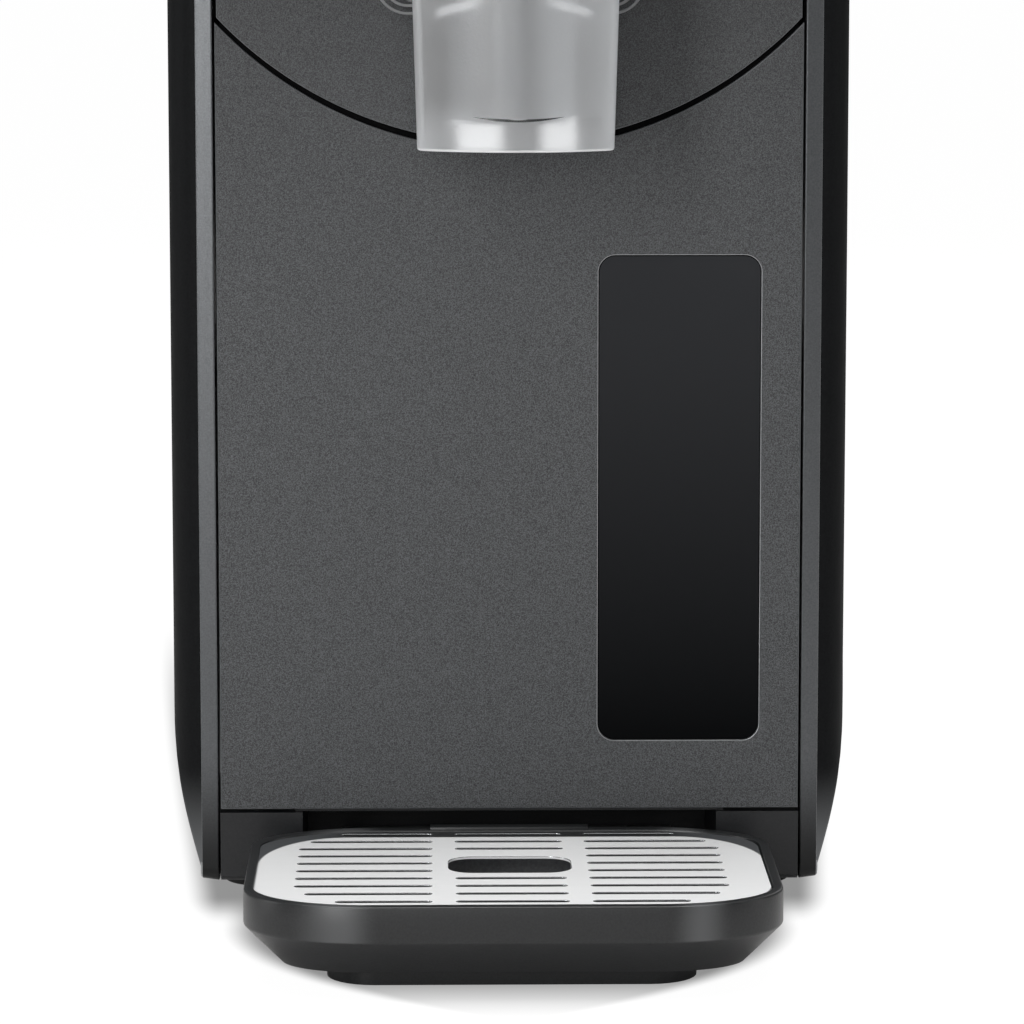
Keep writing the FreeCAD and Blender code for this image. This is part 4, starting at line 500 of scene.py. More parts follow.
dressed = {name for names in DRESS.values() for name in names}
print(len(dressed), "of", len(nodes), "solids dressed, left:", sorted(set(nodes) - dressed))

# %% [markdown]
# The edges of a moulding are never knife sharp, and the thin lights along them make it look real.
# Most pieces in front are drawn anew below with round edges. The plinth stays as it is: a Weld
# modifier joins its loose triangles, and a Bevel modifier rounds every edge that turns sharply.

# %% Soft edges of the plinth
weld = nodes["plinth"].modifiers.new("join_faces", "WELD")
weld.merge_threshold = 0.00001
bevel = nodes["plinth"].modifiers.new("soft_edges", "BEVEL")
bevel.width = mm(0.4)
bevel.segments = 2
bevel.limit_method = "ANGLE"
bevel.angle_limit = math.radians(35)
bevel.harden_normals = True
print("plinth edges rounded by", round(bevel.width * 1000, 2), "mm")

# %% [markdown]
# New pieces are drawn as flat outlines and given a thickness, the way a moulding is drawn. A few
# helpers do that: one spins a corner point into an arc, one rounds the corners of a loop, one fills
# the outline and pulls it to a plate, and one turns the finished mesh into an object that rides on
# its CAD body.

# %% Piece helper
def close_piece(bm, name, materials, body, stands_for=(), smooth=20):
    """Turns a mesh in the making into a piece that moves with a CAD body."""
    bmesh.ops.remove_doubles(bm, verts=bm.verts, dist=1e-6)
    bmesh.ops.recalc_face_normals(bm, faces=bm.faces)
    mesh = bpy.data.meshes.new(name)
    bm.to_mesh(mesh)
    bm.free()
    for material in materials:
        mesh.materials.append(material)
    mesh.shade_smooth()
    mesh.set_sharp_from_angle(angle=math.radians(smooth))
    piece = bpy.data.objects.new(name, mesh)
    bpy.context.scene.collection.objects.link(piece)
    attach(piece, body)
    if stands_for:
        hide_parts(*stands_for)
    print(name, len(mesh.polygons), "faces")
    return piece

# %% Line and arc helpers
def chain(bm, points, closed=False):
    """A few points joined by edges."""
    verts = [bm.verts.new(point) for point in points]
    edges = [bm.edges.new(pair) for pair in zip(verts, verts[1:])]
    if closed:
        edges.append(bm.edges.new((verts[-1], verts[0])))
    return verts, edges


def spun_arc(bm, start, centre, axis, degrees, steps):
    """A point spun into an arc. Returns its first and last points."""
    first = bm.verts.new(start)
    spun = bmesh.ops.spin(bm, geom=[first], cent=centre, axis=axis, angle=math.radians(degrees), steps=steps)
    return first, next(item for item in spun["geom_last"] if isinstance(item, bmesh.types.BMVert))

# %% Plate helpers
def verts_of(grown):
    return [item for item in grown["geom"] if isinstance(item, bmesh.types.BMVert)]


def round_off(bm, parts, width, steps, affect="EDGES", slot=-1):
    """Rounds edges or corner points. Faces of the bend can take a material slot of their own."""
    bmesh.ops.bevel(bm, geom=parts, offset=mm(width), offset_type="OFFSET", segments=steps, profile=0.5,
                    affect=affect, material=slot, clamp_overlap=slot > 0)


def plate_from_loops(bm, push, edge_width):
    """Fills the drawn loops, gives the plate its thickness and rounds the edges of its face."""
    bmesh.ops.triangle_fill(bm, edges=bm.edges[:], use_beauty=True)
    face_rims = [edge for edge in bm.edges if len(edge.link_faces) == 1]
    grown = bmesh.ops.extrude_face_region(bm, geom=bm.faces[:], use_keep_orig=True)
    bmesh.ops.translate(bm, vec=push, verts=verts_of(grown))
    if edge_width:
        round_off(bm, face_rims, edge_width, 2, slot=1)

# %% [markdown]
# The front panel is a thin moulded plate. Its upper edge is a hollow arc, and a rounded window takes
# the touch glass. Its rounded edges get a paler copy of the paint, a painted highlight that draws them
# as fine pale lines; round the window the copy is paler still.

# %% Painted highlights on the panel's edges
# Paler copies of the paint, for the painted highlights on the edges.
panel_edge_highlight = finish("panel_edge_highlight", (70, 72, 74), (92, 94, 96), (0.34, 0.44), grain=2600, bump=0.05,
                    Metallic=0.3)
window_edge_highlight = finish("window_edge_highlight", (128, 130, 132), (152, 154, 156), (0.3, 0.4), grain=2600,
                     bump=0.05, Metallic=0.3)
print("edge finishes made")

# %% Seam and sizes of the skins
SKIN, SKIN_EDGE = 2.2, 0.2
SEAM_R, SEAM_Z = 103.5, 305.7
PANEL_HALF, PANEL_LOW, SEAM = 75.7, 28.1, 1.7
GLASS_X, GLASS_WIDE, GLASS_LOW, GLASS_TALL, GLASS_BEND = 44.1, 42.2, 46.2, 127.3, 4.4


def seam_arc(bm, half, centre_z, y):
    """The curved seam, from its left end through its lowest point to its right end."""
    rise = math.sqrt(SEAM_R ** 2 - half ** 2)
    turn = 2 * math.degrees(math.asin(half / SEAM_R))
    return spun_arc(bm, mm(-half, y, centre_z - rise), mm(0, y, centre_z), (0, -1, 0), turn, 72)


def glass_loop(bm, grow, y):
    """The touch glass's outline, grown on all sides."""
    reach = GLASS_WIDE / 2 + grow
    low, high = GLASS_LOW - grow, GLASS_LOW + GLASS_TALL + grow
    spots = [(GLASS_X - reach, low), (GLASS_X + reach, low), (GLASS_X + reach, high), (GLASS_X - reach, high)]
    return chain(bm, [mm(x, y, z) for x, z in spots], closed=True)

# %% Front panel
bm = bmesh.new()
left_end, right_end = seam_arc(bm, PANEL_HALF, SEAM_Z - SEAM, PANEL_FACE)
low = [bm.verts.new(mm(x, PANEL_FACE, PANEL_LOW)) for x in (-PANEL_HALF, PANEL_HALF)]
for pair in ((left_end, low[0]), (low[0], low[1]), (low[1], right_end)):
    bm.edges.new(pair)
corners = glass_loop(bm, 0, PANEL_FACE)[0]
round_off(bm, corners, GLASS_BEND, 10, "VERTICES")
plate_from_loops(bm, mm(0, SKIN, 0), SKIN_EDGE)
for face in bm.faces:
    spot = face.calc_center_median() * 1000
    near_x = abs(spot.x - GLASS_X) < GLASS_WIDE / 2 + 0.5
    near_z = abs(spot.z - GLASS_LOW - GLASS_TALL / 2) < GLASS_TALL / 2 + 0.5
    if face.material_index == 1 and near_x and near_z:
        face.material_index = 2
close_piece(bm, "front_panel_skin", [graphite, panel_edge_highlight, window_edge_highlight], "housing", ["front_panel"])

# %% [markdown]
# The cover closes the front between the seam and the tank. Its upper edge is cut out round the
# trough that the tank lies in.

# %% Cover over the seam
COVER_HALF, DECK, TROUGH_R, AXIS_Z = 75.2, 299.8, 69.5, 304
bm = bmesh.new()
left_end, right_end = seam_arc(bm, COVER_HALF, SEAM_Z, PANEL_FACE)
mouth = math.sqrt(TROUGH_R ** 2 - (AXIS_Z - DECK) ** 2)
sweep = 2 * math.degrees(math.atan2(mouth, AXIS_Z - DECK))
trough_left, trough_right = spun_arc(bm, mm(-mouth, PANEL_FACE, DECK), mm(0, PANEL_FACE, AXIS_Z),
                                     (0, -1, 0), sweep, 96)
tops = [bm.verts.new(mm(x, PANEL_FACE, DECK)) for x in (-COVER_HALF, COVER_HALF)]
for pair in ((left_end, tops[0]), (tops[0], trough_left), (trough_right, tops[1]), (tops[1], right_end)):
    bm.edges.new(pair)
plate_from_loops(bm, mm(0, SKIN, 0), SKIN_EDGE)
close_piece(bm, "front_cover_skin", [graphite, panel_edge_highlight], "housing", ["upper_front_cover"])

# %% [markdown]
# A foam gasket closes the seam and the gap round the touch glass from behind, so no light comes through
# from the back of the housing. Its near-black is also a painted shade for the deep gaps, so both read as
# black lines.

# %% Gaskets behind seam and glass
# Near-black foam, in part a painted shade for the gaps in front of it.
foam = finish("black_foam", (5, 5, 6), (9, 9, 10), (0.85, 0.95), grain=1200, bump=0.2,
              Specular_IOR_Level=0.1)
GASKET_HALF, GASKET_Y = 74.5, PANEL_FACE + 2.4
bm = bmesh.new()
upper = seam_arc(bm, GASKET_HALF, SEAM_Z + 3, GASKET_Y)
lower = seam_arc(bm, GASKET_HALF, SEAM_Z - 6, GASKET_Y)
for pair in zip(upper, lower):
    bm.edges.new(pair)
plate_from_loops(bm, mm(0, 2, 0), 0)
close_piece(bm, "seam_gasket", [foam], "housing")

bm = bmesh.new()
for grow in (2.5, -2.5):
    glass_loop(bm, grow, PANEL_FACE + 2.25)
plate_from_loops(bm, mm(0, 0.8, 0), 0)
close_piece(bm, "glass_gasket", [foam], "housing")

# %% [markdown]
# Each side frame is a band of metal-look plastic that follows the machine's L-shaped outline. Its
# face is slightly crowned and falls away at the outer edge, where a paler copy of the finish paints a
# highlight line. The section is drawn once, with a few points, and then runs along the outline: pulled
# along the straights, spun round the corners.

# %% Frame section and outline
# Paler copy of the finish, for the painted highlight at the frame's outer edge.
frame_edge_highlight = finish("frame_edge_highlight", (128, 130, 132), (150, 152, 154), (0.3, 0.36), grain=2200, bump=0.05,
                    Metallic=0.4)
FRAME_SECTION = [(76.3, 9), (76.3, 0.3), (76.34, 0.14), (76.44, 0.04), (76.6, 0), (76.8, 0.03), (78.4, 0.26),
                 (80.6, 0.54), (80.7, 0.57), (81.02, 0.84), (81.12, 0.98), (81.15, 1.15), (81.15, 9)]
FRAME_LOW, DECK_HIGH, TOP_HIGH, BODY_DEEP, TOWER_DEEP = 8.5, 300, 430, 300, 108
FOOT_BEND, FRONT_BEND, INNER_BEND, TOP_BEND, HEEL_BEND = 4, 14, 30, 12, 8
# Straight run (dy, dz), then the corner's centre from there, its turn about X and its steps. The
# runs go up the front, over the deck, up the tower, over the top, down the back, under the base.
OUTLINE_RUNS = [
    ((0, DECK_HIGH - FRAME_LOW - FOOT_BEND - FRONT_BEND), (FRONT_BEND, 0), -90, 12),
    ((BODY_DEEP - TOWER_DEEP - FRONT_BEND - INNER_BEND, 0), (0, INNER_BEND), 90, 16),
    ((0, TOP_HIGH - DECK_HIGH - INNER_BEND - TOP_BEND), (TOP_BEND, 0), -90, 12),
    ((TOWER_DEEP - 2 * TOP_BEND, 0), (0, -TOP_BEND), -90, 12),
    ((0, -(TOP_HIGH - FRAME_LOW - TOP_BEND - HEEL_BEND)), (-HEEL_BEND, 0), -90, 10),
    ((-(BODY_DEEP - HEEL_BEND - FOOT_BEND), 0), (0, FOOT_BEND), -90, 8),
]
print(len(OUTLINE_RUNS), "runs round the outline")

# %% Frame bands
def run_round(bm, ring, start):
    """Runs a section round the machine's outline and joins its end to its start."""
    at = Vector(start)
    for (dy, dz), (cy, cz), turn, steps in OUTLINE_RUNS:
        grown = bmesh.ops.extrude_edge_only(bm, edges=ring)
        moved = verts_of(grown)
        ring = [item for item in grown["geom"] if isinstance(item, bmesh.types.BMEdge)
                and all(vert in moved for vert in item.verts)]
        bmesh.ops.translate(bm, vec=mm(0, dy, dz), verts=moved)
        at += mm(0, dy, dz)
        centre = at + mm(0, cy, cz)
        spun = bmesh.ops.spin(bm, geom=ring, cent=centre, axis=(1, 0, 0), angle=math.radians(turn),
                              steps=steps)
        ring = [item for item in spun["geom_last"] if isinstance(item, bmesh.types.BMEdge)]
        at = centre + Matrix.Rotation(math.radians(turn), 3, "X") @ (at - centre)


start_z = FRAME_LOW + FOOT_BEND
for side, label in ((1, "right"), (-1, "left")):
    bm = bmesh.new()
    points = [mm(side * x, PANEL_FACE + depth, start_z) for x, depth in FRAME_SECTION]
    ring = chain(bm, points, closed=True)[1]
    run_round(bm, ring, mm(0, PANEL_FACE, start_z))
    for face in bm.faces:
        at_edge = mm(80.7) < abs(face.calc_center_median().x) < mm(81.1)
        face.material_index = 1 if at_edge else 0
    close_piece(bm, f"{label}_frame_band", [frame_satin, frame_edge_highlight], "housing", [f"{label}_side_frame"],
                smooth=50)

# %% [markdown]
# The grille is a pressed steel plate with three columns of slots and a finger hole. The slots' walls
# are a dark copy of the steel, a painted shade for the dark tray below, while the rounded lips catch
# the light.

# %% Grille sizes and finishes
# Painted shade: a dark copy of the steel for the slots' walls.
slot_wall_shade = finish("slot_wall_shade", (16, 17, 18), (34, 35, 36), (0.5, 0.6), grain=900, bump=0.1, Metallic=0.2)
slot_lip = finish("slot_lip", (176, 178, 180), (206, 208, 209), (0.2, 0.3), grain=1800, bump=0.05,
                  Metallic=0.8)
GRILLE_HALF, GRILLE_FRONT, GRILLE_REAR, GRILLE_TOP, GRILLE_LOW, SHEET = 64.1, 93, 5.5, 23.0, 21.5, 0.6
PLATE_LEFT, PLATE_RIGHT, PLATE_BENDS = -GRILLE_HALF - 0.7, GRILLE_HALF - 0.5, ((25, 21.5), (24, 20))
SLOT_W, SLOT_PITCH, SLOT_FIRST, SLOT_ROWS = 2.3, 8.83, 8.9, 10
LEFT_SLOT, MIDDLE_SLOT, RIGHT_SLOT = (-54.4, -20.4), (-14.4, 13.1), (19, 53.1)
# The outer slots of the first and second row from each end stop short of the plate's round corners.
SHORTER = {0: 10.5, 1: 2.8}
HOLE_HALF, HOLE_Y, HOLE_W = 15.6, 46, 19.5
print("slots", round(SLOT_PITCH, 2), "mm apart in", SLOT_ROWS, "rows")

# %% Level loops
def opening(bm, left, right, middle_y, wide, radius, steps):
    """A level rectangle with round corners in the plate's face, placed from the panel face."""
    front, back = middle_y - wide / 2, middle_y + wide / 2
    spots = ((left, front), (right, front), (right, back), (left, back))
    corners = chain(bm, [mm(x, PANEL_FACE + y, GRILLE_TOP) for x, y in spots], closed=True)[0]
    round_off(bm, corners, radius, steps, "VERTICES")


def bowl_ring(bm, left, right, front, back, bends, z, segments=96):
    """A level loop whose front and rear corners are quarter ellipses."""
    made = bmesh.ops.create_circle(bm, radius=1, segments=segments)["verts"]
    bmesh.ops.rotate(bm, matrix=Matrix.Rotation(math.pi / segments, 3, "Z"), verts=made)
    for vert in made:
        across, along = bends[0] if vert.co.y < 0 else bends[1]
        x = (left + across if vert.co.x < 0 else right - across) + across * vert.co.x
        y = (front + along if vert.co.y < 0 else back - along) + along * vert.co.y
        vert.co = mm(x, PANEL_FACE + y, z)
    return made

# %% [markdown]
# The dark machine stands right behind the plate, and the brushed steel would mirror it. That reflection
# is painted: a dark strip along the rear edge that turns forward round the corners, where it is paler.

# %% Painted reflection in the plate
def shade_rear(material, half, middle, reach, strip, corner):
    """Painted dark reflection along the plate's rear edge; it turns forward round the rear corners."""
    tree = material.node_tree
    axes = object_axes(tree)
    aside = maths(tree, "ABSOLUTE", axes["X"])
    total = 0
    for source, start, length in ((aside, half, reach[0]), (axes["Y"], middle, reach[1])):
        past = maths(tree, "MAXIMUM", maths(tree, "SUBTRACT", source, start), 0)
        square = maths(tree, "POWER", maths(tree, "DIVIDE", past, length), 2)
        total = maths(tree, "ADD", square, total)
    edge = ramp(tree, total, 0.98, 1.04)
    at_corner = ramp(tree, aside, half - mm(4), half + mm(8))
    recolour(material, edge, mix_colours(tree, at_corner, screen(*strip), screen(*corner)))


# Painted reflection of the dark machine on the plate's rear strip.
shade_rear(plate_steel, mm(42), mm(PANEL_FACE - 45.4), (mm(22.2), mm(33)), (40, 41, 42), (74, 76, 78))
print("rear of the plate shaded")

# %% Grille plate
bm = bmesh.new()
bowl_ring(bm, PLATE_LEFT, PLATE_RIGHT, -GRILLE_FRONT, -GRILLE_REAR, PLATE_BENDS, GRILLE_TOP)
for row in range(SLOT_ROWS):
    middle_y = -SLOT_FIRST - row * SLOT_PITCH
    shorten = SHORTER.get(min(row, SLOT_ROWS - 1 - row), 0)
    ends = [(LEFT_SLOT[0] + shorten, LEFT_SLOT[1]), (RIGHT_SLOT[0], RIGHT_SLOT[1] - shorten)]
    if abs(-middle_y - HOLE_Y) > HOLE_W / 2 + SLOT_W:
        ends.append(MIDDLE_SLOT)
    for left, right in ends:
        opening(bm, left, right, middle_y, SLOT_W, 1.1, 6)
opening(bm, -HOLE_HALF - 0.6, HOLE_HALF - 0.9, -HOLE_Y, HOLE_W, 6.1, 8)
plate_from_loops(bm, mm(0, 0, -SHEET), 0.16)
for face in bm.faces:
    face.normal_update()
    spot = face.calc_center_median() * 1000
    by_hole = abs(spot.x) < HOLE_HALF + 1 and abs(spot.y - PANEL_FACE + HOLE_Y) < HOLE_W / 2 + 1
    at_rim = abs(spot.x) > GRILLE_HALF - 1 or spot.y - PANEL_FACE < 1 - GRILLE_FRONT
    if abs(face.normal.z) < 0.3 and not by_hole and not at_rim:
        face.material_index = 2
close_piece(bm, "grille_plate", [plate_steel, slot_lip, slot_wall_shade], "grille", ["drip_grille"])

# %% Folded rim under the plate
bm = bmesh.new()
for inset in (0.05, 0.6):
    bends = [(across - inset, along - inset) for across, along in PLATE_BENDS]
    bowl_ring(bm, PLATE_LEFT + inset, PLATE_RIGHT - inset, inset - GRILLE_FRONT, -GRILLE_REAR - inset,
              bends, GRILLE_TOP - SHEET + 0.1)
plate_from_loops(bm, mm(0, 0, GRILLE_LOW - GRILLE_TOP + SHEET - 0.1), 0)
close_piece(bm, "grille_fold", [bright_steel], "grille")

# %% [markdown]
# The drip tray is one black moulding. Rings are laid from the underside up over the bevel, the
# upright band and the rounded rim and down again into the bowl, then bridged to a closed shell. The
# soft rim edge is what draws the fine light line round the real tray.

# %% Tray sizes
TRAY_LEFT, TRAY_RIGHT, TRAY_FRONT, TRAY_REAR = -67.0, 66.5, -96.5, -1.0
TRAY_BENDS = ((31, 24), (34, 22))
# Each ring's distance in from the tray's outline, and its height.
OUTSIDE = [(9.5, 5.0), (0.5, 14.05), (0.13, 14.45), (0.0, 14.95), (0.0, 22.75), (0.1, 23.08), (0.3, 23.3),
           (0.6, 23.4)]
INSIDE = [(2.2, 23.4), (2.4, 23.32), (2.5, 23.1), (2.5, 21.5), (5.9, 21.5), (6.1, 21.2), (12.0, 8.2),
          (14.0, 7.5)]
print(len(OUTSIDE) + len(INSIDE), "rings for the tray")

# %% [markdown]
# The tray is satin black outside, with two painted soft highlights near the front corners of its band.
# Its bowl is a paler grey than the band.

# %% Tray finishes
def corner_light(material, left, right, low, colour):
    """Painted soft highlights on the upright band, near the tray's front corners."""
    tree = material.node_tree
    axes = object_axes(tree)
    lights = 0
    for rise_from, rise_to, fall_from, fall_to in (left, right):
        rise = ramp(tree, axes["X"], mm(rise_from), mm(rise_to))
        fall = ramp(tree, axes["X"], mm(fall_from), mm(fall_to), 1.0, 0.0)
        lights = maths(tree, "ADD", maths(tree, "MULTIPLY", rise, fall), lights)
    on_band = ramp(tree, axes["Z"], mm(low), mm(low + 0.5))
    recolour(material, maths(tree, "MULTIPLY", lights, on_band), screen(*colour))


tray_black = finish("tray_black", (26, 27, 28), (36, 37, 38), (0.3, 0.38), grain=1800, bump=0.05,
                    Specular_IOR_Level=0.35)
# Painted highlights near the front corners of the band.
corner_light(tray_black, (-56, -43, -42, -33), (37, 45, 45, 53), 14.2, (74, 75, 76))
tray_inside = finish("tray_inside", (92, 93, 95), (112, 113, 115), (0.3, 0.4), grain=1200, bump=0.05)
print("tray finishes made")

# %% Drip tray
def join_rings(bm, rings):
    """Closes the space between loops that have as many points in the same order."""
    for lower, upper in zip(rings, rings[1:]):
        for index in range(len(lower)):
            bm.faces.new((lower[index - 1], lower[index], upper[index], upper[index - 1]))


bm = bmesh.new()
rings = []
for inset, z in OUTSIDE + INSIDE:
    ahead, behind = (inset, inset) if (inset, z) in OUTSIDE else (inset + 0.6, inset + 1.6)
    bends = [(across - inset, along - inset) for across, along in TRAY_BENDS]
    rings.append(bowl_ring(bm, TRAY_LEFT + inset, TRAY_RIGHT - inset, TRAY_FRONT + ahead, TRAY_REAR - behind,
                           bends, z))
join_rings(bm, rings)
for ring in (rings[0], rings[-1]):
    bm.faces.new(ring)
bowl = {vert for ring in rings[-4:] for vert in ring}
for face in bm.faces:
    face.material_index = 1 if all(vert in bowl for vert in face.verts) else 0
close_piece(bm, "tray_bowl", [tray_black, tray_inside], "tray", ["drip_tray"], smooth=30)

# %% [markdown]
# Under the tray a foot stands on the counter, and a flat tongue reaches back into the plinth. The
# rear rim carries a low bar with fine ribs beside it. All are blocks with softened edges.

# %% Foot, tongue and rear bar
def soft_block(bm, left, right, front, back, low, high, soft=0, bend=0):
    """A block placed from the panel face: all its edges softened, or its upright ones bent wide."""
    made = bmesh.ops.create_cube(bm, size=1)["verts"]
    for vert in made:
        vert.co = mm(right if vert.co.x > 0 else left, PANEL_FACE + (back if vert.co.y > 0 else front),
                     high if vert.co.z > 0 else low)
    edges = {edge for vert in made for edge in vert.link_edges}
    if bend:
        upright = [edge for edge in edges if abs(edge.verts[0].co.z - edge.verts[1].co.z) > mm(0.01)]
        round_off(bm, upright, bend, 8)
    else:
        round_off(bm, list(edges), soft, 2)


bm = bmesh.new()
soft_block(bm, -46.5, 45.4, -79.3, -13.5, 0, 5.2, bend=12)
soft_block(bm, -45, 45, -11.5, 49.7, 9.8, 13.3, soft=0.4)
soft_block(bm, -20.9, 20.5, -5.0, -1.0, 22.6, 24.1, soft=0.25)
for x in (-23.4, -22.6, -22.0, 21.0, 30.4):
    soft_block(bm, x, x + 0.24, -4.2, -1.1, 22.6, 23.55, soft=0.05)
close_piece(bm, "tray_fittings", [tray_black], "tray", smooth=30)

# %% [markdown]
# Light that enters a clear wall leaves it again at its ends, so the side walls and the foot of the
# spout cover look paler than its face. That light is painted: a mask of the distance from the middle
# plane, with the same draft as the walls, makes the frosted plastic give off a faint light of its own,
# over its right half too, with two painted highlight strokes over the tube.

# %% Painted light in the spout's walls
def wall_light(material, low, high, inner_low, inner_high, glow, stroke_glow):
    """Painted light in the side walls, the foot and the right half, and two painted highlight strokes over
    the tube.
    """
    tree = material.node_tree
    shader = tree.nodes["Principled BSDF"]
    axes = object_axes(tree)
    aside = maths(tree, "ABSOLUTE", axes["X"])
    draft = ramp(tree, axes["Z"], mm(low), mm(high), mm(inner_low), mm(inner_high), "LINEAR")
    edge = ramp(tree, maths(tree, "SUBTRACT", aside, draft), 0, mm(0.5))
    foot = ramp(tree, axes["Z"], mm(low + 14), mm(low + 2))
    foot = maths(tree, "MULTIPLY", foot, ramp(tree, aside, mm(7), mm(15), 0.55, 1.0))
    lit_half = ramp(tree, axes["X"], mm(3), mm(10), 0, 0.95)
    clear_of_panes = maths(tree, "MULTIPLY", lit_half, ramp(tree, axes["Z"], mm(low + 7), mm(low + 9)))
    pale = maths(tree, "MAXIMUM", maths(tree, "MAXIMUM", foot, clear_of_panes), edge)
    walls = mix_colours(tree, pale, screen(0, 0, 0), screen(*glow))
    # Two painted highlight strokes on the wall, one on each side, stand for the light off the tube's round
    # shoulder.
    bow = maths(tree, "MULTIPLY", axes["X"], axes["X"])
    height = maths(tree, "MULTIPLY_ADD", bow, 9.8, axes["Z"])
    gap = maths(tree, "ABSOLUTE", maths(tree, "SUBTRACT", height, mm(240.6)))
    stroke = ramp(tree, gap, mm(2.1), 0)
    for start, end in ((6, 12), (20, 17)):
        stroke = maths(tree, "MULTIPLY", stroke, ramp(tree, aside, mm(start), mm(end)))
    tree.links.new(mix_colours(tree, stroke, walls, screen(*stroke_glow)), shader.inputs["Emission Color"])
    shader.inputs["Emission Strength"].default_value = 1.0


SPOUT_LOW, SPOUT_TOP, HALF_LOW, HALF_TOP = 203.5, 266, 24.3, 26.2
LIT_WALL = 3.1
wall_light(frosted, SPOUT_LOW, SPOUT_TOP, HALF_LOW - LIT_WALL, HALF_TOP - LIT_WALL, (64, 65, 66),
           (112, 113, 114))
print("light set in the walls of the spout cover")

# %% [markdown]
# The spout cover is a clear U-shaped wall with a frosted inside. Its section is drawn at the lower
# edge, pulled up with a little draft, and its edges are rounded. The light runs along inside the wall
# and leaves it at the rounded cut ends; a paler, more opaque copy of the plastic there is a painted
# highlight for it.

# %% Spout cover
SPOUT_FRONT, SPOUT_BACK, SPOUT_X, BOW, WALL = 62, 7, 0.7, 36, 2.6


def spout_bow(bm, inset):
    """Front of the section, from its left end to its right end, at the lower edge."""
    radius, half = BOW - inset, HALF_LOW - inset
    centre = mm(0, PANEL_FACE - SPOUT_FRONT + BOW, SPOUT_LOW)
    lean = math.asin(half / radius)
    start = centre + mm(-half, -radius * math.cos(lean), 0)
    return spun_arc(bm, start, centre, (0, 0, 1), 2 * math.degrees(lean), 28)


bm = bmesh.new()
ends = []
for inset in (0, WALL):
    left, right = spout_bow(bm, inset)
    half = HALF_LOW - inset
    rear = [bm.verts.new(mm(x, PANEL_FACE - SPOUT_BACK, SPOUT_LOW)) for x in (-half, half)]
    bm.edges.new((left, rear[0]))
    bm.edges.new((right, rear[1]))
    ends.append((left, right, rear))
for outer, inner in zip(ends[0][2], ends[1][2]):
    bm.edges.new((outer, inner))
shoulders = [ends[0][0], ends[0][1]]
round_off(bm, shoulders, 2.2, 6, "VERTICES")
bmesh.ops.triangle_fill(bm, edges=bm.edges[:], use_beauty=True)
low_rims = [edge for edge in bm.edges if len(edge.link_faces) == 1]
grown = bmesh.ops.extrude_face_region(bm, geom=bm.faces[:], use_keep_orig=True)
top = verts_of(grown)
bmesh.ops.translate(bm, vec=mm(0, 0, SPOUT_TOP - SPOUT_LOW), verts=top)
bmesh.ops.scale(bm, vec=(HALF_TOP / HALF_LOW, 1, 1), verts=top)
bmesh.ops.translate(bm, vec=mm(SPOUT_X, 0, 0), verts=bm.verts)
round_off(bm, low_rims, 0.6, 3, slot=1)
close_piece(bm, "spout_wall", [frosted, pale_highlight], "tank", ["spout_cover"])

# %% [markdown]
# Inside the spout cover the clear valve tube ends in a short sleeve. It is open below, so light
# runs up its wall and leaves a bright pane on each side of a darker middle. Both are painted: the
# sleeve is coloured a mid grey for the shaded middle, and the panes are painted light that its
# material gives off. Its upper edge rises towards the sides.

# %% Sleeve finish with painted light and shade
sleeve_painted_light, tree, shader = start_material("sleeve_painted_light")
grain = place_group(tree, GRAIN, Scale=1100.0)
tree.links.new(mix_colours(tree, grain.outputs["Value"], screen(104, 105, 106), screen(120, 121, 122)),
               shader.inputs["Base Color"])
vary_gloss(tree, shader, grain.outputs["Value"], 0.34, 0.44)
across = object_axes(tree)["X"]
# Painted light: two bright panes on either side of the sleeve's middle.
panes = maths(tree, "ADD", ramp(tree, across, mm(-0.5), mm(-5.0)), ramp(tree, across, mm(4.5), mm(9.0)))
tree.links.new(mix_colours(tree, panes, screen(50, 50, 51), screen(246, 246, 246)),
               shader.inputs["Emission Color"])
shader.inputs["Emission Strength"].default_value = 0.95
print("sleeve finish made")

# %% Sleeve at the end of the tube
TUBE_Y, SLEEVE_X = PANEL_FACE - 42, 1.1


SLEEVE_R, SLEEVE_WALL, SLEEVE_LOW, SLEEVE_TALL, SIDE_RISE = 14.6, 1.4, 204.4, 6.0, 2.2
inner, upper = SLEEVE_R - SLEEVE_WALL, SLEEVE_LOW + SLEEVE_TALL
bm = bmesh.new()
section = [(inner, SLEEVE_LOW), (SLEEVE_R, SLEEVE_LOW), (SLEEVE_R, upper), (inner, upper)]
ring = chain(bm, [mm(SLEEVE_X + reach, TUBE_Y, z) for reach, z in section], closed=True)[1]
bmesh.ops.spin(bm, geom=ring, cent=mm(SLEEVE_X, TUBE_Y, 0), axis=(0, 0, 1), angle=math.tau, steps=64,
               use_merge=True)
for vert in bm.verts:
    if vert.co.z > mm(SLEEVE_LOW + SLEEVE_TALL / 2):
        vert.co.z += mm(SIDE_RISE) * (vert.co.x / mm(SLEEVE_R)) ** 2
close_piece(bm, "outlet_sleeve", [sleeve_painted_light], "tank")

# %% [markdown]
# A thin dark line hangs across the cover's front near its foot, with a painted highlight, a fine
# pale lip, under its middle. Both are thin lenses bent to the bow of the wall.

# %% Dark line on the cover
dark_line = finish("dark_line", (40, 41, 42), (60, 61, 62), (0.2, 0.3), grain=900, bump=0.02)


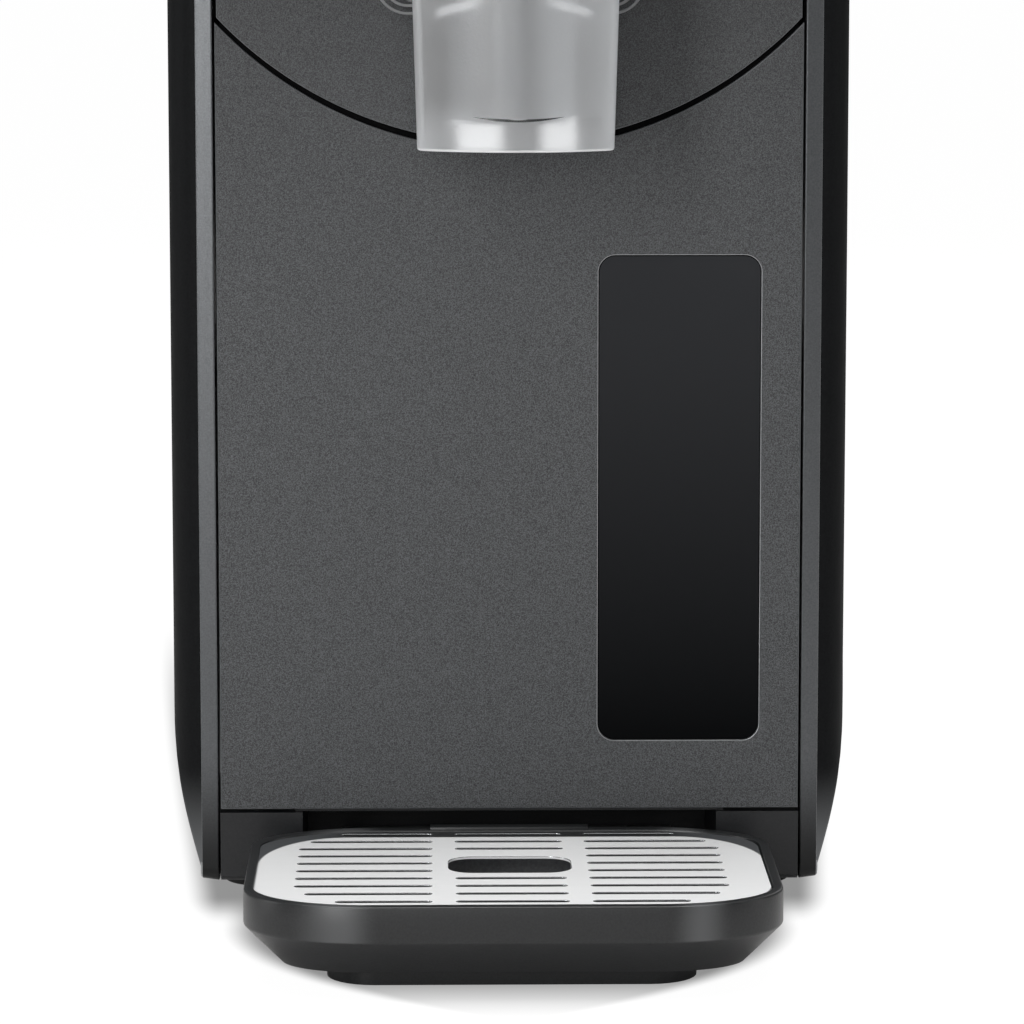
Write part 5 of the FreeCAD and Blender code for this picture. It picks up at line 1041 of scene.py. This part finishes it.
def crescent(name, x, half, z, sag_low, sag_high, stand, material):
    """A lens between two hanging arcs, laid on the bowed front of the spout cover."""
    bm = bmesh.new()
    for sag in (sag_low, sag_high):
        radius = (half ** 2 + sag ** 2) / (2 * sag)
        turn = 2 * math.degrees(math.asin(half / radius))
        spun_arc(bm, mm(-half, 0, z), mm(0, 0, z - sag + radius), (0, -1, 0), turn, 20)
    bmesh.ops.remove_doubles(bm, verts=bm.verts, dist=1e-6)
    plate_from_loops(bm, mm(0, 0.4, 0), 0)
    bmesh.ops.translate(bm, vec=mm(x, 0, 0), verts=bm.verts)
    for vert in bm.verts:
        bulge = math.sqrt(mm(BOW) ** 2 - (vert.co.x - mm(SPOUT_X)) ** 2)
        vert.co.y += mm(PANEL_FACE - SPOUT_FRONT - stand + BOW) - bulge
    close_piece(bm, name, [material], "tank")


crescent("cover_line", 1.2, 11.4, 212.2, 1.25, 0.55, 0.06, dark_line)
# Painted highlight: a tiny pale lens under the middle of the dark line.
crescent("cover_line_highlight", 1.2, 2.6, 211.72, 0.24, 0.06, 0.1, pale_highlight)

# %% [markdown]
# The tank's front ends in a clear apron behind the spout. Only its rounded rim shows against the
# dark panel, as two fine pale lines, one for each face of the rim, that run down each side and round
# the lower corners. The lines are painted highlights: thin pale beads stand for the light that the
# rim's faces catch.

# %% Painted highlights on the rim of the clear apron
APRON_HALF, APRON_FOOT, APRON_BEND, APRON_TOP, BEAD = 34.2, 235.8, 8.2, 262, 0.38
bend_x, bend_z = APRON_HALF - APRON_BEND, APRON_FOOT + APRON_BEND
# Straight run, then the centre that the bead turns round: down, across, up.
RIM_RUNS = [((0, 0, bend_z - APRON_TOP), (-bend_x, bend_z)), ((2 * bend_x, 0, 0), (bend_x, bend_z)),
            ((0, 0, APRON_TOP - bend_z), None)]
for order, inward in (("outer", 0), ("inner", 2.0)):
    bm = bmesh.new()
    bmesh.ops.create_circle(bm, cap_ends=True, radius=mm(BEAD), segments=10)
    bmesh.ops.translate(bm, vec=mm(inward - APRON_HALF, PANEL_FACE - 6.7, APRON_TOP), verts=bm.verts)
    face = bm.faces[:]
    for run, centre in RIM_RUNS:
        grown = bmesh.ops.extrude_face_region(bm, geom=face)
        bmesh.ops.translate(bm, vec=mm(*run), verts=verts_of(grown))
        face = [item for item in grown["geom"] if isinstance(item, bmesh.types.BMFace)]
        if centre:
            spun = bmesh.ops.spin(bm, geom=face, cent=mm(centre[0], PANEL_FACE, centre[1]), axis=(0, 1, 0),
                                  angle=math.radians(-90), steps=12)
            face = [item for item in spun["geom_last"] if isinstance(item, bmesh.types.BMFace)]
    close_piece(bm, f"apron_rim_{order}", [rim_highlight], "tank", smooth=60)

# %% [markdown]
# The six screws of the rear cover have pan heads with a cross recess. One screw is drawn as rings of
# points round its axis, from the tip of its shank to the bottom of the recess: the cross is a ring
# whose radius drops between the four arms.

# %% Rear screws
HEAD_R, HEAD_RISE, SHANK_R, ARM, WAIST, RECESS = 3.4, 1.4, 1.8, 1.9, 0.55, 1.1
SHANK_END, HEAD_SEAT = 186.25, 196.65
SCREW_SPOTS = [(x, z) for x in (-67.9, 67.9) for z in (22.5, 244, 394)]


def round_ring(bm, radius, y, cross=False, points=48):
    """A ring of points about Y; a cross ring is wide on four arms and narrow between them."""
    ring = []
    for index in range(points):
        angle = math.tau * index / points
        reach = radius
        if cross and (index + 1) % (points // 4) > 2:
            reach = WAIST * radius / ARM
        ring.append(bm.verts.new(mm(reach * math.cos(angle), y, reach * math.sin(angle))))
    return ring


bm = bmesh.new()
for x, z in SCREW_SPOTS:
    rings = [round_ring(bm, SHANK_R - 0.4, SHANK_END), round_ring(bm, SHANK_R, SHANK_END + 0.6),
             round_ring(bm, SHANK_R, HEAD_SEAT), round_ring(bm, HEAD_R, HEAD_SEAT),
             round_ring(bm, HEAD_R, HEAD_SEAT + 0.5)]
    for part in (0.25, 0.5, 0.75, 1):
        bend = math.radians(90 * part)
        rise = 0.5 + (HEAD_RISE - 0.5) * math.sin(bend)
        rings.append(round_ring(bm, HEAD_R - 0.95 * (1 - math.cos(bend)), HEAD_SEAT + rise))
    rings.append(round_ring(bm, ARM, HEAD_SEAT + HEAD_RISE, cross=True))
    rings.append(round_ring(bm, ARM * 0.8, HEAD_SEAT + HEAD_RISE - RECESS, cross=True))
    join_rings(bm, rings)
    bm.faces.new(rings[0])
    bm.faces.new(rings[-1])
    bmesh.ops.translate(bm, vec=mm(x, 0, z), verts=[vert for ring in rings for vert in ring])
close_piece(bm, "rear_screws", [bright_steel], "housing", ["rear_cover_screws"], smooth=35)
